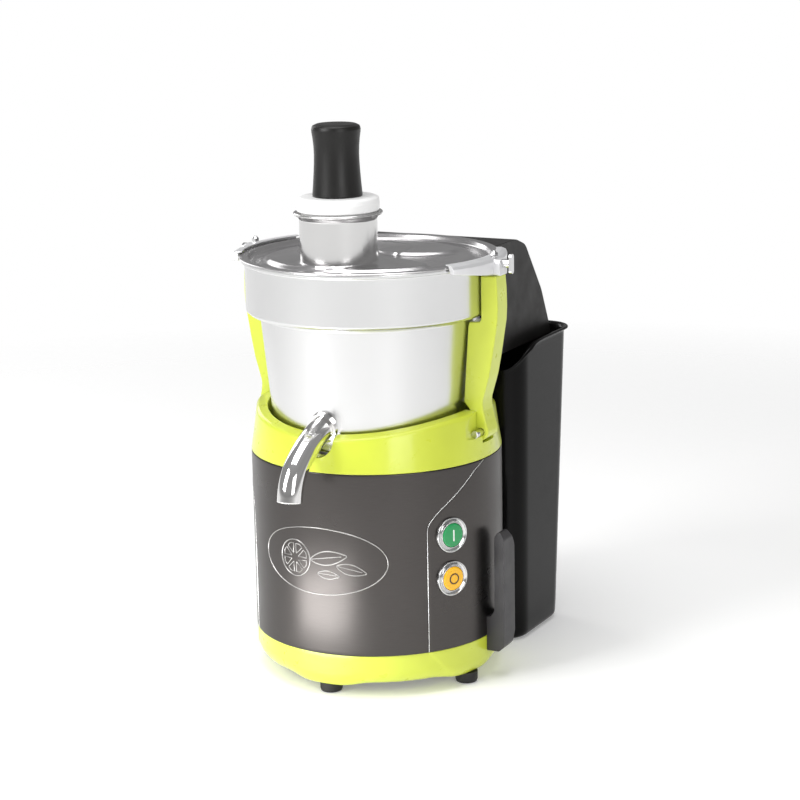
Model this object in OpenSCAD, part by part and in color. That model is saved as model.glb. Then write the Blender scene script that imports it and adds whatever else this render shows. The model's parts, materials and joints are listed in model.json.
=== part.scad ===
// Centrifugal juicer with a round motor base, a lift-off bowl held by two swinging
// arms, an offset feed tube with pusher, and a rear pulp container.
// Frame: +Z up, -Y is the spout side, +X is the switch side. The origin lies on the
// table, at the centre of the footprint.

/* [Housing] */
// Outer radius of the round motor housing
housing_r = 138; // [137.5:0.5:138]
// Height at which the steel wrap starts above the base ring
wrap_z0 = 48; // [46:1:50]
// Height at which the steel wrap ends below the top housing
wrap_z1 = 248; // [248:0.5:249]
// Thickness of the steel wrap
wrap_t = 2; // [1.5:0.5:2]
// Distance of the flat back from the bowl axis
back_y = 100; // [99:0.5:100.5]

/* [Bowl] */
// Outer radius of the bowl's upper band
band_r = 135; // [134:0.5:135]
// Outer radius at the top of the bowl's lower cone
cone_r1 = 120; // [119:0.5:120]
// Outer radius at the foot of the bowl's lower cone
cone_r0 = 107.4; // [106.4:0.5:107.4]
// Sheet thickness of the bowl
bowl_t = 1.5; // [1.2:0.1:1.6]

/* [Feed tube and pusher] */
// Outer radius of the feed tube
tube_r = 41.25; // [41:0.25:41.5]
// Wall thickness of the feed tube
tube_t = 1.5; // [1.2:0.1:1.6]
// Distance of the feed tube in front of the bowl axis
tube_y = 67; // [65:1:68]
// Radius of the pusher's body
pusher_r = 39; // [38:0.5:39.2]

/* [Arms] */
// Distance of each arm's pivot from the middle plane
pivot_x = 134; // [133.5:0.5:134.5]
// Height of the arm pivots
pivot_z = 277; // [276:0.5:278]
// Radius of the pivot pins
pin_r = 4; // [3.8:0.1:4]
// Radial clearance of an arm on its pin
pin_gap = 0.06; // [0.04:0.01:0.08]

/* [Drive] */
// Radius of the motor shaft in its bearings
shaft_r = 9; // [8.5:0.5:9]
// Radial clearance between shaft and bearings
bearing_gap = 0.05; // [0.03:0.01:0.08]
// Number of teeth in each ring of the grating disc
teeth = 18; // [12:1:24]

/* [Pulp container] */
// Wall thickness of the pulp container
bin_t = 3; // [2.5:0.5:3.5]
// Height of the pulp container's rim
bin_h = 347; // [345:1:347]

/* [Switches] */
// Angle of the switches, from the spout side towards +X
switch_angle = 62; // [61:1:63]
// Height of the start button
start_z = 175; // [174:1:177]
// Height of the stop button
stop_z = 127; // [125:1:128]

/* [Hidden] */
axis_y = -35;      // bowl axis in the part's frame
by = 8;            // centre of the housing relative to the bowl axis
wrap_r0 = housing_r - wrap_t;
col_cy = 4;        // centre of the top housing's round opening
col_r = 116;       // radius of that opening
arm_y0 = -7;       // arms lie between these two planes
arm_y1 = 19;
ap = 6;            // middle plane of the arms
foot_pos = [[0, -108], [121, -22], [0, 78], [-121, -22]];
$fn = 96;

lime = [0.84, 0.88, 0.27];
steel = [0.62, 0.61, 0.59];
shiny = [0.83, 0.83, 0.82];
dark = [0.15, 0.145, 0.14];
black = [0.04, 0.04, 0.04];

// ---- helpers ----
module placed() translate([0, axis_y, 0]) children();
module ring(ro, ri, z0, z1) translate([0, 0, z0]) difference() {
  cylinder(r = ro, h = z1 - z0);
  translate([0, 0, -1]) cylinder(r = ri, h = z1 - z0 + 2);
}
module rod(r, z0, z1) translate([0, 0, z0]) cylinder(r = r, h = z1 - z0);
module box(p0, p1) translate(p0) cube([p1[0] - p0[0], p1[1] - p0[1], p1[2] - p0[2]]);
// flat shape in X and Z, given a depth along Y
module along_y(y0, y1) translate([0, y1, 0]) rotate([90, 0, 0]) linear_extrude(y1 - y0) children();
// flat shape in Y and Z, given a width along X
module along_x(x0, x1) translate([x0, 0, 0]) rotate([90, 0, 90]) linear_extrude(x1 - x0) children();
// rectangle with round corners
module rrect(x0, y0, x1, y1, r) {
  translate([x0 + r, y0]) square([x1 - x0 - 2 * r, y1 - y0]);
  translate([x0, y0 + r]) square([x1 - x0, y1 - y0 - 2 * r]);
  for (x = [x0 + r, x1 - r], y = [y0 + r, y1 - r]) translate([x, y]) circle(r = r);
}
// local +Z points radially out of the housing at an angle from the spout side
module radial(ang, z) translate([0, by, z]) rotate([0, 0, ang - 90]) rotate([0, 90, 0]) children();
// the housing's plan: a circle with a flat back
module d_plan(r, yb) intersection() { translate([0, by]) circle(r = r); translate([-200, -200]) square([400, 200 + yb]); }

// ---- base ----
module base_ring() placed() color(lime) difference() {
  union() {
    intersection() {
      translate([0, by, 0]) rotate_extrude() polygon(concat([[0, wrap_z0], [housing_r, wrap_z0], [housing_r, 30]],
        [for (a = [15:15:90]) [122 + (housing_r - 122) * cos(a), 30 - 16 * sin(a)]], [[0, 14]]));
      box([-200, -200, 0], [200, back_y, 60]);
    }
    for (p = foot_pos) intersection() {
      translate([p[0], p[1], 12]) cylinder(r = 19, h = 12);
      translate([0, by, 0]) cylinder(r = housing_r - 0.5, h = 60);
    }
  }
  intersection() {
    translate([0, by, 0]) rotate_extrude() polygon([[0, 60], [housing_r - 5, 60], [housing_r - 5, 30], [118, 20], [112, 18.5], [0, 18.5]]);
    box([-200, -200, 0], [200, back_y - 5, 80]);
  }
  rod(56, 10, 20);
  for (p = foot_pos) translate([p[0], p[1], 0]) cylinder(r = 3.05, h = 40);
  translate([-150, 50, 31]) rotate([0, 90, 0]) cylinder(r = 8.05, h = 50);
}
module bottom_plate() placed() color(steel) difference() {
  rod(55.6, 14.6, 18.4);
  for (a = [0:30:330]) rotate([0, 0, a]) translate([38, 0, 0]) cylinder(r = 6, h = 40);
}
module feet() placed() color(black) for (p = foot_pos) translate([p[0], p[1], 0]) difference() {
  cylinder(r1 = 12, r2 = 12.8, h = 12);
  translate([0, 0, -1]) cylinder(r = 5.6, h = 5.5);
  cylinder(r = 3.1, h = 30);
}
module foot_screws() placed() color(shiny) for (p = foot_pos) translate([p[0], p[1], 0]) {
  translate([0, 0, 1.6]) cylinder(r = 5.2, h = 2.9);
  translate([0, 0, 1.6]) cylinder(r = 3, h = 24);
}

// ---- steel wrap: the front panel and the rear panel meet on a curved seam ----
function seam(g) = [[-105.5 + g, wrap_z0 - 1], [105.5 - g, wrap_z0 - 1], [105.5 - g, 185], [111.4 - g, 199], [124.5 - g, 217],
  [134.3 - g, 239], [139 - g, 252], [-139 + g, 252], [-134.3 + g, 239], [-124.5 + g, 217], [-111.4 + g, 199], [-105.5 + g, 185]];
module wrap_wall() difference() {
  translate([0, 0, wrap_z0]) linear_extrude(wrap_z1 - wrap_z0) d_plan(housing_r, back_y);
  translate([0, 0, wrap_z0 - 1]) linear_extrude(wrap_z1 - wrap_z0 + 2) d_plan(wrap_r0, back_y - wrap_t);
}
module front_shell() placed() color(steel) intersection() {
  wrap_wall();
  along_y(-160, by) polygon(seam(0.2));
}
module rear_shell() placed() color(steel) difference() {
  wrap_wall();
  along_y(-160, by) polygon(seam(-0.2));
  box([-78, 90, 72], [78, 120, 222]);
  for (z = [start_z, stop_z]) radial(switch_angle, z) translate([0, 0, 110]) cylinder(r = 15.1, h = 40);
  for (x = [-84, 84], z = [68, 226]) translate([x, 90, z]) rotate([-90, 0, 0]) cylinder(r = 2, h = 20);
}
module oval(a, b) polygon([for (t = [0:6:354]) [a * cos(t), b * sin(t)]]);
module leaf(l, w) intersection() {
  translate([0, -(l * l / 4 - w * w / 4) / w]) circle(r = (l * l / 4 + w * w / 4) / w);
  translate([0, (l * l / 4 - w * w / 4) / w]) circle(r = (l * l / 4 + w * w / 4) / w);
}
module front_emblem() placed() color(shiny) intersection() {
  translate([0, by, 0]) ring(housing_r + 0.8, housing_r, 90, 200);
  along_y(-160, by) translate([0, 151]) {
    difference() { oval(73, 37); oval(71.4, 35.4); }
    difference() { circle(r = 21); circle(r = 18.6); }
    for (a = [0:45:315]) rotate(a) polygon([[4, 0], [16, -5], [16.8, 0], [16, 5]]);
    for (s = [-1, 1]) translate([s * 44, 0]) rotate(s * 14) leaf(34, 11);
  }
}
module rear_cover() placed() color(steel) difference() {
  along_y(back_y, back_y + 2) rrect(-90, 62, 90, 232, 6);
  for (z = [92:14:204], s = [-1, 1]) along_y(back_y - 1, back_y + 3) rrect(s * 38 - 30, z - 3, s * 38 + 30, z + 3, 2.9);
  for (x = [-84, 84], z = [68, 226]) translate([x, 90, z]) rotate([-90, 0, 0]) cylinder(r = 2, h = 20);
}
module cover_screws() placed() color(shiny) for (x = [-84, 84], z = [68, 226]) translate([x, 0, z]) rotate([-90, 0, 0]) {
  translate([0, 0, back_y - 6]) cylinder(r = 2, h = 10);
  translate([0, 0, back_y + 2]) cylinder(r = 4, h = 2);
}

// ---- top housing with the two forked ears ----
saddle_r = 500;
module top_housing() placed() color(lime) difference() {
  intersection() {
    translate([0, by, 0]) union() {
      rotate_extrude() polygon([[0, wrap_z1], [housing_r, wrap_z1], [housing_r - 0.3, 252], [130.6, 295], [129.6, 299], [127, 302.5], [122, 305.5], [0, 306]]);
      // fuller ears round the two forks
      intersection() {
        rotate_extrude() polygon(concat([[0, wrap_z1 + 2], [housing_r, wrap_z1 + 2]], [for (t = [0:10:90]) [121 + (housing_r - 121) * cos(t), 274 + 40 * sin(t)]], [[0, 314]]));
        for (s = [-1, 1]) scale_x(s) translate([0, -by, 0]) linear_extrude(400) polygon([[112, -36], [126, -31], [141, -17], [141, 33], [126, 47], [112, 52]]);
      }
    }
    box([-200, -200, 0], [200, back_y, 400]);
  }
  translate([0, col_cy, 0]) rod(col_r, 249.8, 400);
  translate([0, col_cy, 0]) rod(108, 240, 260);
  // saddle-shaped top edge
  translate([0, 0, 287.3 + saddle_r]) rotate([90, 0, 0]) translate([0, 0, -250]) cylinder(r = saddle_r, h = 500, $fn = 360);
  // notch for the spout
  along_y(-160, -90) union() { translate([-17.5, 281]) square([35, 60]); translate([0, 281]) circle(r = 17.5); }
  // fork slots, pin seats and pin holes
  for (s = [-1, 1]) scale_x(s) {
    box([111, arm_y0 - 0.4, pivot_z - 11.5], [150, arm_y1 + 0.4, 340]);
    along_y(-50, 0) union() {
      translate([pivot_x - 4.1, pivot_z]) square([8.2, 50]);
      translate([pivot_x, pivot_z]) circle(r = pin_r + 0.02);
    }
    translate([pivot_x, -45, pivot_z]) rotate([-90, 0, 0]) cylinder(r = pin_r + 0.02, h = 71.2);
  }
}
module scale_x(s) if (s > 0) children(); else mirror([1, 0, 0]) children();
module motor_deck() placed() color([0.7, 0.7, 0.71]) difference() {
  translate([0, 0, 250]) linear_extrude(8) intersection() {
    translate([0, col_cy]) circle(r = col_r - 0.2);
    translate([-200, -200]) square([400, 200 + back_y - 0.5]);
  }
  rod(16.2, 240, 270);
}
module shaft_seal() placed() color(black) difference() {
  union() { rod(16.2, 250, 258); rod(12, 258, 259.6); }
  rod(8.5, 240, 270);
}
module arm_pins() placed() color(shiny) for (s = [-1, 1]) scale_x(s) translate([pivot_x, -21, pivot_z]) rotate([-90, 0, 0]) cylinder(r = pin_r, h = 47);

// ---- bowl, spout and chute ----
module bowl() placed() color(shiny) difference() {
  rotate_extrude() polygon([[20, 258.2], [98, 258.2], [103.6, 260.5], [106.8, 266], [cone_r0 + 0.2, 270], [cone_r1, 398],
    [cone_r1 + 1.5, 401], [band_r - 1.5, 402], [band_r, 403.5], [band_r, 458], [139, 459], [139, 461],
    [band_r - bowl_t, 461], [band_r - bowl_t, 404.6], [band_r - 2.6, 403.5], [cone_r1, 402.5], [cone_r1 - bowl_t, 399],
    [cone_r0 + 0.2 - bowl_t, 270.4], [105.2, 267], [102.3, 261.8], [97.6, 259.7], [21.5, 259.7], [21.5, 284], [20, 284]]);
  box([-56, 110, 408], [56, 150, 452]);
  spout_frame() translate([0, 0, -6]) cylinder(r = 11.5, h = 20);
}
// local +Z is the spout's first direction, 15 degrees below the horizontal
module spout_frame() translate([0, -110, 293.2]) rotate([105, 0, 0]) children();
// walking along the spout's centre line, heading -Y and falling
function go(p, a, l) = [p[0] - l * cos(a), p[1] - l * sin(a)];
function arc(p, a0, a1, rb) = [p[0] - rb * (sin(a1) - sin(a0)), p[1] - rb * (cos(a0) - cos(a1))];
sp0 = [-110.3, 293.1];
sp1 = go(sp0, 15, 6);
sp2 = arc(sp1, 15, 38, 140);
sp3 = arc(sp2, 38, 80, 50);
module at(p) translate([0, p[0], p[1]]) children();
module pipe() difference() { circle(r = 13.5, $fn = 36); circle(r = 11.8, $fn = 36); }
module run(p, a, l) at(p) rotate([90 + a, 0, 0]) linear_extrude(l) pipe();
module elbow(p, a0, a1, rb) at(p) translate([0, rb * sin(a0), -rb * cos(a0)]) rotate([90, 0, 90]) rotate([0, 0, 90 + a0 - 0.4])
  rotate_extrude(angle = a1 - a0 + 0.4, $fn = 72) translate([rb, 0]) pipe();
module spout() placed() color(shiny) difference() {
  union() {
    run(sp0, 15, 6.2);
    elbow(sp1, 15, 38, 140);
    elbow(sp2, 38, 80, 50);
    run(go(sp3, 80, -0.2), 80, 7.2);
  }
  // flush with the bowl's conical wall
  translate([0, 0, 270]) cylinder(r1 = cone_r0 + 0.25, r2 = cone_r1 + 0.05, h = 128);
}
module spout_ring() placed() color(shiny) difference() {
  spout_frame() translate([0, 0, -2]) cylinder(r = 16.5, h = 7);
  spout_frame() translate([0, 0, -10]) cylinder(r = 13.55, h = 40);
  translate([0, 0, 270]) cylinder(r1 = cone_r0 + 0.25, r2 = cone_r1 + 0.05, h = 128);
}
module chute() placed() color(dark) difference() {
  intersection() {
    along_x(-105, 105) union() {
      polygon([[114.6, 337], [248, 337], [245, 347], [223, 393], [189.5, 440], [179, 451], [167, 458.2], [152, 461], [80, 461], [80, 405], [114.6, 405]]);
    }
    along_y(60, 260) union() { translate([-105, 330]) square([210, 112]); rrect(-105, 400, 105, 461, 18); }
  }
  intersection() {
    along_x(-102, 102) polygon([[117.6, 330], [245.6, 330], [241.8, 347], [220, 391.5], [187, 438], [177, 448.4], [166, 454.9], [152, 457.8], [80, 457.8], [80, 407.5], [117.6, 407.5]]);
    along_y(60, 260) union() { translate([-102, 320]) square([204, 122]); rrect(-102, 390, 102, 457.8, 15); }
  }
  rod(band_r + 0.05, 400.8, 470);
  rod(142.4, 456.8, 480);
  // clear of the bowl's cone
  translate([0, 0, 270]) cylinder(r1 = cone_r0 + 0.7, r2 = cone_r1 + 0.5, h = 128);
  rod(cone_r1 + 2, 397.9, 401);
}

// ---- motor and electrics ----
module motor_housing() placed() color([0.55, 0.56, 0.58]) ring(84, 80.1, 72, 196);
module stator_core() placed() color([0.45, 0.45, 0.47]) difference() {
  ring(80, 43.5, 100, 168);
  for (a = [0:15:345]) rotate([0, 0, a]) translate([43, -1.6, 95]) cube([10, 3.2, 80]);
}
module stator_windings() placed() color([0.72, 0.4, 0.16]) { ring(76, 47, 80, 99.9); ring(76, 47, 168.1, 188); }
module lower_end_shield() placed() color([0.6, 0.6, 0.62]) difference() {
  union() { rod(84, 64, 71.9); rod(26, 60, 78); }
  rod(18, 62, 90);
  rod(12, 50, 90);
}
module upper_end_shield() placed() color([0.6, 0.6, 0.62]) difference() {
  union() { rod(84, 196.1, 206); rod(30, 206, 222); }
  rod(23, 208, 230);
  rod(12, 190, 230);
  for (a = [45:90:315]) rotate([0, 0, a]) translate([66, 0, 190]) cylinder(r = 3.05, h = 30);
}
module lower_bearing() placed() color(shiny) ring(18, shaft_r + bearing_gap, 62, 76);
module upper_bearing() placed() color(shiny) ring(23, shaft_r + bearing_gap, 208, 222);
module motor_pillars() placed() color([0.6, 0.6, 0.6]) for (a = [45:90:315]) rotate([0, 0, a]) translate([66, 0, 0]) {
  rod(8, 206, 250);
  rod(3, 198, 206);
}
module capacitor() placed() color([0.75, 0.76, 0.78]) translate([-106, 24, 0]) { rod(17, 70, 150); rod(5, 150, 156); }
module brake_module() placed() color([0.2, 0.22, 0.24]) {
  box([-34, -118, 80], [34, -90, 170]);
  for (x = [-24:12:24]) box([x - 4, -114, 170], [x + 4, -96, 176]);
}
module terminal_block() placed() color([0.85, 0.84, 0.78]) translate([-108, 60, 0]) difference() {
  box([-9, -14, 64], [9, 14, 84]);
  for (y = [-9, 0, 9]) translate([0, y, 70]) cylinder(r = 2, h = 20);
}
// wiring runs round the inside of the base and rises to each device
wr = 122;
module riser(a, r, z0, z1) rotate([0, 0, a]) {
  translate([r, 0, z0]) rotate([0, 90, 0]) cylinder(r = 2, h = wr - r);
  translate([r, 0, z0]) sphere(r = 2, $fn = 32);
  translate([r, 0, z0]) cylinder(r = 2, h = z1 - z0);
}
module wire_harness() placed() color([0.12, 0.12, 0.13]) translate([0, by, 0]) {
  rotate([0, 0, 155]) translate([0, 0, 54]) rotate_extrude(angle = 177) translate([wr, 0]) circle(r = 2.6, $fn = 32);
  riser(154.8, 119.3, 54, 63.9);
  riser(-90, 112, 54, 79.9);
  riser(switch_angle - 90, 107, 54, stop_z - 11.1);
  rotate([0, 0, switch_angle - 90]) translate([107, 0, 0]) rod(2, stop_z + 11.1, start_z - 11.1);
  riser(171, 106, 54, 69.9);
}
module cable_gland() placed() color(black) translate([-118, 50, 31]) rotate([0, -90, 0]) difference() {
  union() { cylinder(r = 8, h = 17); translate([0, 0, 17]) cylinder(r = 11, h = 6.5, $fn = 6); translate([0, 0, 23.5]) cylinder(r1 = 9, r2 = 7, h = 6); }
  translate([0, 0, -1]) cylinder(r = 4, h = 40);
}
module safety_switch() placed() color([0.25, 0.25, 0.27]) { box([98, -4, 222], [122, 16, 246]); translate([110, 6, 246]) cylinder(r = 3, h = 1.8); }

// ---- switches ----
module bezel() difference() {
  union() { translate([0, 0, 116]) cylinder(r = 15, h = 23); translate([0, 0, 138.1]) cylinder(r = 17.5, h = 2.4); translate([0, 0, 140.5]) cylinder(r1 = 17.5, r2 = 16.2, h = 1.2); }
  translate([0, 0, 110]) cylinder(r = 13.4, h = 40);
}
module contact_block() translate([0, 0, 98]) difference() {
  translate([-11, -11, 0]) cube([22, 22, 17.8]);
  translate([0, 0, 10]) cylinder(r = 5.5, h = 20);
}
module button() { translate([0, 0, 130]) cylinder(r = 13, h = 12); translate([0, 0, 142]) cylinder(r1 = 13, r2 = 12.2, h = 0.8); translate([0, 0, 113]) cylinder(r = 5, h = 17); }
module start_bezel() placed() color(shiny) radial(switch_angle, start_z) bezel();
module stop_bezel() placed() color(shiny) radial(switch_angle, stop_z) bezel();
module start_contact() placed() color(dark) radial(switch_angle, start_z) contact_block();
module stop_contact() placed() color(dark) radial(switch_angle, stop_z) contact_block();
module start_cap() placed() color([0.05, 0.58, 0.33]) radial(switch_angle, start_z) button();
module stop_cap() placed() color([0.97, 0.66, 0.08]) radial(switch_angle, stop_z) button();

// ---- side hook ----
module side_hook() placed() color(dark) difference() {
  along_y(-4, 24) union() {
    polygon([[130, 31], [152, 31], [159, 38], [159, 158], [157, 166], [153, 170], [149, 166], [147, 158], [147, 76], [142, 70], [130, 70]]);
  }
  translate([0, by, 0]) rod(housing_r, 0, 90);
  // the top falls away to the rear
  along_x(120, 180) polygon([[10, 171], [24.1, 156], [24.1, 180], [10, 180]]);
}

// ---- rotor ----
module motor_shaft() placed() color(shiny) { rod(shaft_r, 34, 245); rod(8, 245, 294); rod(6, 294, 316); }
module rotor_core() placed() color([0.5, 0.5, 0.52]) ring(42.8, shaft_r, 96, 172);
module cooling_fan() placed() color(dark) difference() {
  union() {
    rod(64, 38, 40.5);
    rod(16, 38, 56);
    for (a = [0:36:324]) rotate([0, 0, a]) translate([14, -1.2, 40]) cube([48, 2.4, 16]);
  }
  rod(shaft_r, 30, 60);
}
module drive_hub() placed() color(shiny) difference() {
  union() { rod(14, 262, 287); rod(34, 287, 294); ring(28, 24, 270, 288); }
  rod(8, 250, 300);
}
module basket() placed() color([0.75, 0.75, 0.74]) difference() {
  rotate_extrude() polygon([[6, 294], [91, 294], [93, 296], [104, 403], [109, 405.5], [109, 406.7], [103, 406.7], [102.6, 404], [91.8, 297], [6, 297]]);
}
module grating_disc() placed() color(shiny) union() {
  ring(88, 6, 297, 298.6);
  for (k = [0:3], a = [0:360 / teeth:359]) rotate([0, 0, a + k * 7]) translate([30 + k * 15, 0, 298.4]) rotate([0, 0, 35]) translate([-2, -0.6, 0]) cube([4, 1.2, 1.8]);
}
module disc_nut() placed() color(shiny) difference() {
  union() { rod(18, 298.6, 304); translate([0, 0, 304]) cylinder(r1 = 15, r2 = 11, h = 14); translate([0, 0, 318]) cylinder(r1 = 11, r2 = 6, h = 3); }
  rod(6, 290, 316.2);
}

// ---- arms, jaws and clamps ----
module arm() difference() {
  along_y(arm_y0, arm_y1) union() {
    polygon([[136, 310], [140.5, 324], [144.6, 338], [148.3, 358], [151.4, 381], [154.2, 394], [155.5, 407], [155.2, 430], [153.8, 446.5],
      [135.9, 446.5], [135.9, 399.5], [134.5, 397], [121.5, 395.5], [120.6, 391], [114.5, 308], [120.5, 302], [pivot_x - 7, pivot_z + 11], [pivot_x - 9, pivot_z],
      [pivot_x + 9, pivot_z], [pivot_x + 6, pivot_z + 12], [137.5, 300]]);
    translate([pivot_x, pivot_z]) circle(r = 9);
  }
  translate([pivot_x, -40, pivot_z]) rotate([-90, 0, 0]) cylinder(r = pin_r + pin_gap, h = 80);
}
module jaw() difference() {
  union() {
    rotate([0, 0, -27]) rotate_extrude(angle = 54) polygon([[141.9, 446.5], [150, 446.5], [150.6, 448.5], [150.6, 462.2], [148.8, 464.6], [143, 466.6],
      [137.2, 466.4], [137.2, 465.2], [141.9, 464.6]]);
    // head that carries the clamp bolt
    along_x(147, 157) rrect(ap - 10, 446.5, ap + 10, 464, 4);
  }
  // the underside rises towards both tips
  along_x(130, 160) for (m = [-1, 1]) polygon([[13 * m, 440], [80 * m, 440], [80 * m, 457], [13 * m, 447.6]]);
  translate([146.2, ap, 450]) cylinder(r = 2.5, h = 30);
  translate([150, ap, 459]) rotate([0, 90, 0]) cylinder(r = 3, h = 20);
}
module clamp_bolt() {
  translate([150, ap, 459]) rotate([0, 90, 0]) cylinder(r = 3, h = 16);
  translate([157, ap, 459]) rotate([0, 90, 0]) cylinder(r = 4.5, h = 7.5);
  along_x(164.5, 167.5) rrect(ap - 3.5, 448.5, ap + 3.5, 469.5, 3.4);
}
// the left side closes with a plain low head instead of a bar
module plain_bolt() {
  translate([150, ap, 459]) rotate([0, 90, 0]) cylinder(r = 3, h = 8);
  translate([157, ap, 459]) rotate([0, 90, 0]) cylinder(r = 5, h = 4.5);
}
module cap_nut() {
  translate([146.2, ap, 452]) cylinder(r = 2.5, h = 16);
  translate([146.2, ap, 466.8]) cylinder(r = 4.4, h = 3, $fn = 6);
  translate([146.2, ap, 469.8]) cylinder(r1 = 3.7, r2 = 1.6, h = 2.4);
}
module arm_right() placed() color(lime) arm();
module jaw_right() placed() color([0.78, 0.78, 0.79]) jaw();
module clamp_bolt_right() placed() color(shiny) clamp_bolt();
module cap_nut_right() placed() color(shiny) cap_nut();
module arm_left() placed() color(lime) mirror([1, 0, 0]) arm();
module jaw_left() placed() color([0.78, 0.78, 0.79]) mirror([1, 0, 0]) jaw();
module clamp_bolt_left() placed() color(shiny) mirror([1, 0, 0]) plain_bolt();
module cap_nut_left() placed() color(shiny) mirror([1, 0, 0]) cap_nut();

// ---- lid, feed tube and pusher ----
module lid() placed() color(shiny) difference() {
  rotate_extrude() polygon([[0, 459.2], [108, 459.2], [117, 456.6], [129, 456.6], [131.6, 463], [140.4, 463], [141.4, 462.2],
    [140.4, 461.3], [133.1, 461.3], [130.6, 455.2], [116.6, 455.2], [107.6, 457.8], [0, 457.8]]);
  translate([0, -tube_y, 440]) cylinder(r = tube_r, h = 40);
}
module feed_tube() placed() color(shiny) translate([0, -tube_y, 0]) difference() {
  union() {
    rod(tube_r, 446, 517);
    translate([0, 0, 510.5]) cylinder(r1 = tube_r, r2 = 46.5, h = 4);
    rod(47.5, 514.5, 517);
  }
  rod(tube_r - tube_t, 440, 520);
}
module pusher_body() placed() color([0.93, 0.93, 0.92]) translate([0, -tube_y, 0]) difference() {
  union() {
    rod(pusher_r, 425, 518);
    rod(44.2, 517.4, 531.6);
    translate([0, 0, 531.6]) cylinder(r1 = 44.2, r2 = 42.6, h = 1.4);
  }
  rod(4, 460, 540);
  translate([0, 0, 424]) cylinder(r = 34, h = 36);
}
module pusher_handle() placed() color([0.06, 0.06, 0.06]) translate([0, -tube_y, 0]) difference() {
  rotate_extrude() polygon([[0, 533], [26.6, 533], [26.3, 536], [25.3, 545], [24.4, 554], [23.3, 568], [22.9, 582], [23.7, 593], [25.2, 602],
    [24.6, 606], [21.5, 608.4], [12, 609.6], [0, 610]]);
  rod(4.02, 520, 576);
}
module pusher_screw() placed() color(shiny) translate([0, -tube_y, 0]) { rod(4, 460, 574); rod(8, 454, 460); }

// ---- pulp container: tapered bin with a lipped rim, lower at the front ----
module slab(x, y0, y1, z, h, r) translate([0, 0, z]) linear_extrude(h) hull() for (sx = [-1, 1], y = [y0 + r, y1 - r]) translate([sx * (x - r), y]) circle(r = r, $fn = 40);
module pulp_container() placed() color(black) difference() {
  union() {
    hull() { slab(116, 119, 231, 0, 1, 20); slab(123, 112.8, 239, 9, 1, 27); slab(124, 112.8, 265.6, bin_h - 1, 1, 28); }
    hull() { slab(124, 112.8, 265.2, bin_h - 10, 1, 28); slab(128.5, 112.8, 270.5, bin_h - 2, 2, 31); }
  }
  hull() { slab(113.5, 121, 228.5, bin_t, 1, 18); slab(120, 115.8, 236, 12, 1, 24); slab(121, 115.8, 262.6, bin_h + 1, 1, 25); }
  // the rim drops in an S-curve towards the housing
  along_x(-200, 200) polygon([[90, 318], [115, 318], [119, 321.5], [124, 327], [130, 333.5], [136, 338.6], [142, 342], [150, 344.8], [165, 347.1], [165, 380], [90, 380]]);
}

base_ring();
bottom_plate();
feet();
foot_screws();
front_shell();
rear_shell();
front_emblem();
rear_cover();
cover_screws();
top_housing();
motor_deck();
shaft_seal();
arm_pins();
bowl();
spout();
spout_ring();
chute();
motor_housing();
stator_core();
stator_windings();
lower_end_shield();
upper_end_shield();
lower_bearing();
upper_bearing();
motor_pillars();
capacitor();
brake_module();
terminal_block();
wire_harness();
cable_gland();
safety_switch();
start_bezel();
stop_bezel();
start_contact();
stop_contact();
side_hook();
motor_shaft();
rotor_core();
cooling_fan();
drive_hub();
basket();
grating_disc();
disc_nut();
arm_right();
jaw_right();
clamp_bolt_right();
cap_nut_right();
arm_left();
jaw_left();
clamp_bolt_left();
cap_nut_left();
lid();
feed_tube();
pusher_body();
pusher_handle();
pusher_screw();
pulp_container();
start_cap();
stop_cap();
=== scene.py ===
import json
import math
import bpy
import bmesh
import numpy as np
from mathutils import Matrix, Vector


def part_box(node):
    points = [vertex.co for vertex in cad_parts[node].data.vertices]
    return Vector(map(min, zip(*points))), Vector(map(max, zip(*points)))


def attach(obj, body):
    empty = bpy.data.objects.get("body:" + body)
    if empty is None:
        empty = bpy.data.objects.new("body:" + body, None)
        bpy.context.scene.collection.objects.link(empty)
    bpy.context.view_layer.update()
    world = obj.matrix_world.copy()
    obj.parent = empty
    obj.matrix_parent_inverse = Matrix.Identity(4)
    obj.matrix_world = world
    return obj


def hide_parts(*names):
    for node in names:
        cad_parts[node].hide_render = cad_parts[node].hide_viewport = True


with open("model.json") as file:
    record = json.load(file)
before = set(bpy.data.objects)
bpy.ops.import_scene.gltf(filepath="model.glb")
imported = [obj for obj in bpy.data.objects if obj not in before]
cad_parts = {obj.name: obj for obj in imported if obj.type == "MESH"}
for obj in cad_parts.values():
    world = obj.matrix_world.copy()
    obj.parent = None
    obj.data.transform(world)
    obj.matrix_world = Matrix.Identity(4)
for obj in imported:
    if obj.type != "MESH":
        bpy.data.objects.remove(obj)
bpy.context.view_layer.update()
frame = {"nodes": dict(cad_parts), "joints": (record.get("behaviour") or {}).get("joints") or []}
scene = bpy.context.scene
NODES = frame["nodes"]

# ---------------------------------------------------------------- anchors from the frame
_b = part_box("bowl")
AX = Vector(((_b[0][0] + _b[1][0]) / 2, (_b[0][1] + _b[1][1]) / 2, 0.0))   # bowl axis


def span(node):
    """Lowest and highest corner of a node in millimetres, from the bowl axis."""
    lo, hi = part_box(node)
    o = Vector((AX.x, AX.y, 0))
    return (Vector(lo) - o) * 1000, (Vector(hi) - o) * 1000


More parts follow.
